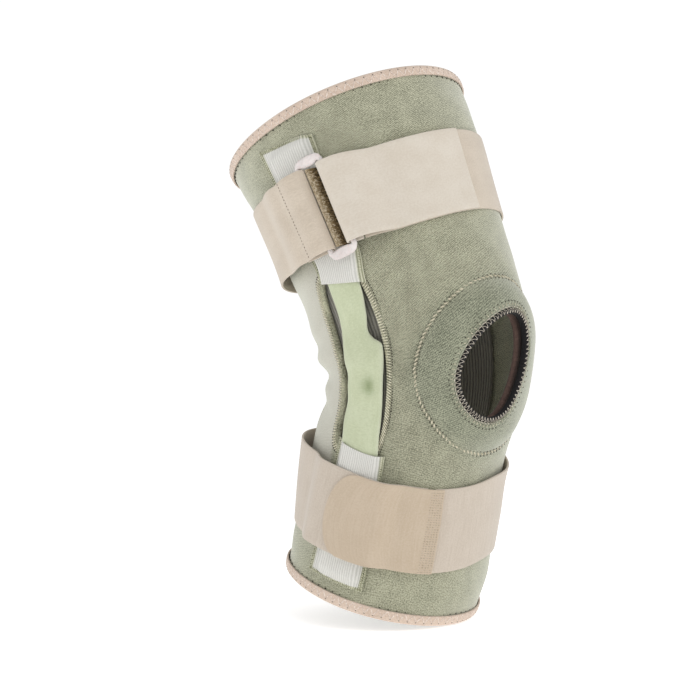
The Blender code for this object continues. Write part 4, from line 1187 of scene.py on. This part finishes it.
# Thigh tab: a smooth, plain cream pull tab folded round the ring's front bar and closed over the strap's
# end.
TAB_CLOTH = cloth(
    "tab_cloth", nap, (0.590, 0.525, 0.440), (0.655, 0.600, 0.520), (0.72, 0.68, 0.62),
    values={"Streak": 1.0}, bump=0.15, painted_sheen_share=0.35)
TAB_END = -8.0
tab_rows = ((FRONT_BAR + 3.0, OVER_BAR), (TAB_CLOSING, LOW + LAYER), (TAB_END, LOW + LAYER))
tab_path = [(FRONT_BAR + 4.0, UNDER_BAR)] + round_bar(FRONT_BAR, -90.0, -270.0)
tab_path += along(tab_rows, tab_rows[0][0], TAB_END)
TAB_FLAT = (0.105, THIGH_WEB_WIDTH)
thigh_tab = ribbon("thigh_pull_tab", tab_path, thigh_place, TAB_FLAT, TAB_CLOTH)
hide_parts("thigh_tab")

# Calf strap: cream elastic from under its tab, round behind the calf and over the front to the seam where
# the tab is sewn on. The tab is napped cloth with a rounded end, closed over the strap.
calf_run = strap_run(CALF_STRAP_RUN, CALF_STRAP_PLACE, CALF_STRAP_RISE, CALF_STRAP_WIDTH, 1.0)


def calf_place(angle, share, lift):
    """Points of the calf strap or its tab."""
    return limb(*calf_run(angle, share, lift))


CALF_RADIUS = float(side_radius(CALF_STRAP_PLACE))
CALF_EDGE = math.degrees(COVER_WIDTH / 2 / CALF_RADIUS) + EDGE_ROOM
CALF_SEAM = -34.0
CALF_TAB_END = -99.5
CALF_TAB_ROUNDING = 0.013
SEAM_STITCHES = 34
calf_rows = (
    (CALF_SEAM - 10.0, LOW),
    *over_hinge(OUTER, CALF_EDGE),
    *over_hinge(INNER, CALF_EDGE),
    (-360.0 + CALF_SEAM - 5.0, LOW),
)
CALF_ELASTIC = cloth(
    "calf_elastic", nap, (0.495, 0.425, 0.350), (0.570, 0.500, 0.425), (0.66, 0.61, 0.55),
    values={"Streak": 16.0}, bump=0.3, painted_sheen_share=0.4)
CALF_FLAT = (0.41, CALF_STRAP_WIDTH)
calf_strap = ribbon("calf_elastic_strap", along(calf_rows, calf_rows[0][0], calf_rows[-1][0]), calf_place,
                    CALF_FLAT, CALF_ELASTIC)
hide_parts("calf_strap")


def calf_tab_place(u, v):
    """Points of the calf tab's middle plane."""
    full = np.degrees(CALF_TAB_ROUNDING / CALF_RADIUS)
    tip = CALF_TAB_END + full * (1.0 - np.sqrt(np.maximum(0.0, 1.0 - (2.0 * v - 1.0) ** 2)))
    angle = CALF_SEAM + u * (tip - CALF_SEAM)
    return calf_place(angle, v, eased_rows(calf_rows, np.minimum(angle, calf_rows[0][0])) + LAYER)


CALF_TAB_CLOTH = cloth(
    "calf_tab_cloth", nap, (0.490, 0.395, 0.292), (0.545, 0.450, 0.345), (0.68, 0.61, 0.53),
    values={"Streak": 16.0}, bump=0.25, painted_sheen_share=0.4)
CALF_TAB_FLAT = (0.068, CALF_STRAP_WIDTH)
calf_tab = laid(
    "calf_pull_tab", grid(60, 36), calf_tab_place, CALF_TAB_FLAT, CALF_TAB_CLOTH)
thicken(calf_tab, STRAP_WALL, 0.0, 0.0004)
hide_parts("calf_tab")
seam_rows = CALF_SEAM - np.array((0.8, 2.4, 4.0, 5.6, 7.2))
shares = np.tile(np.linspace(0.02, 0.96, SEAM_STITCHES), len(seam_rows))
seam_angles = np.repeat(seam_rows, SEAM_STITCHES)
seam_lift = LOW + LAYER + STRAP_WALL / 2
starts, outs = on_strap(calf_place, seam_angles, shares, seam_lift)
sewn("calf_seam_stitches", starts, calf_place(seam_angles - 1.0, shares + 0.006, seam_lift), outs, 0.0004,
     SEAM_THREAD, 0.5)

# Bindings: soft cream tape folded over both rims of the sleeve and held by a zigzag of thread.
BINDING_TURN = SLEEVE_WALL / 2 + GAP + BINDING_WALL / 2
BINDING_DEPTH = 0.0072
FOLD_SHARE = 2.6
HOLE_HALF = 0.25
BINDING_TAPE = cloth(
    "binding_cloth", nap, (0.520, 0.400, 0.315), (0.690, 0.560, 0.465), (0.74, 0.65, 0.58),
    values={"Streak": 0.5}, bump=0.4, painted_sheen_share=0.4)
BINDING_THREAD = thread("binding_thread", (0.56, 0.45, 0.38), (0.80, 0.70, 0.62))
for name, node, rim, inward, binding_flat, count in (
    ("thigh_rim_tape", "thigh_binding", THIGH_LENGTH, -1.0, (0.47, 0.0185), 84),
    ("calf_rim_tape", "calf_binding", -CALF_LENGTH, 1.0, (0.385, 0.0185), 70),
):
    def binding_place(u, v):
        """Points of the folded tape's middle plane."""
        fold = np.clip((v - 0.5) * FOLD_SHARE, -0.5, 0.5) * math.pi
        flat_run = np.maximum(np.abs(v - 0.5) - 0.5 / FOLD_SHARE, 0.0) / (0.5 - 0.5 / FOLD_SHARE)
        depth = BINDING_WALL / 2 + BINDING_TURN * (1.0 - np.cos(fold))
        depth = depth + flat_run * (BINDING_DEPTH - BINDING_WALL / 2 - BINDING_TURN)
        return limb(rim + inward * depth, u * 360.0 - 180.0, BINDING_TURN * np.sin(fold) - SLEEVE_WALL / 2)

    binding = laid(name, grid(220, 18), binding_place, binding_flat, BINDING_TAPE)
    thicken(binding, BINDING_WALL, 0.0)
    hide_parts(node)
    half_step = 180.0 / count
    angles = np.linspace(-180.0, 180.0, count, endpoint=False)
    peaks = angles + half_step
    lift = BINDING_TURN - SLEEVE_WALL / 2 + BINDING_WALL / 2
    inner, outer, dots = (np.full(count, rim + inward * depth) for depth in (BINDING_DEPTH, 0.0026, 0.0078))
    for part, first, last, height, radius, finish in (
        ("_zigs", (inner, angles), (outer, peaks), lift, 0.00045, BINDING_THREAD),
        ("_zags", (outer, peaks), (inner, angles + 2 * half_step), lift, 0.00045, BINDING_THREAD),
        ("_holes", (dots, angles - HOLE_HALF), (dots, angles + HOLE_HALF), 0.0, 0.00050, HOLE_SHADE),
        ("_upper_holes", (outer, peaks - HOLE_HALF), (outer, peaks + HOLE_HALF), lift - 0.0002, 0.00050,
         HOLE_SHADE),
    ):
        sewn_on(name + part, first, last, height, radius, finish)
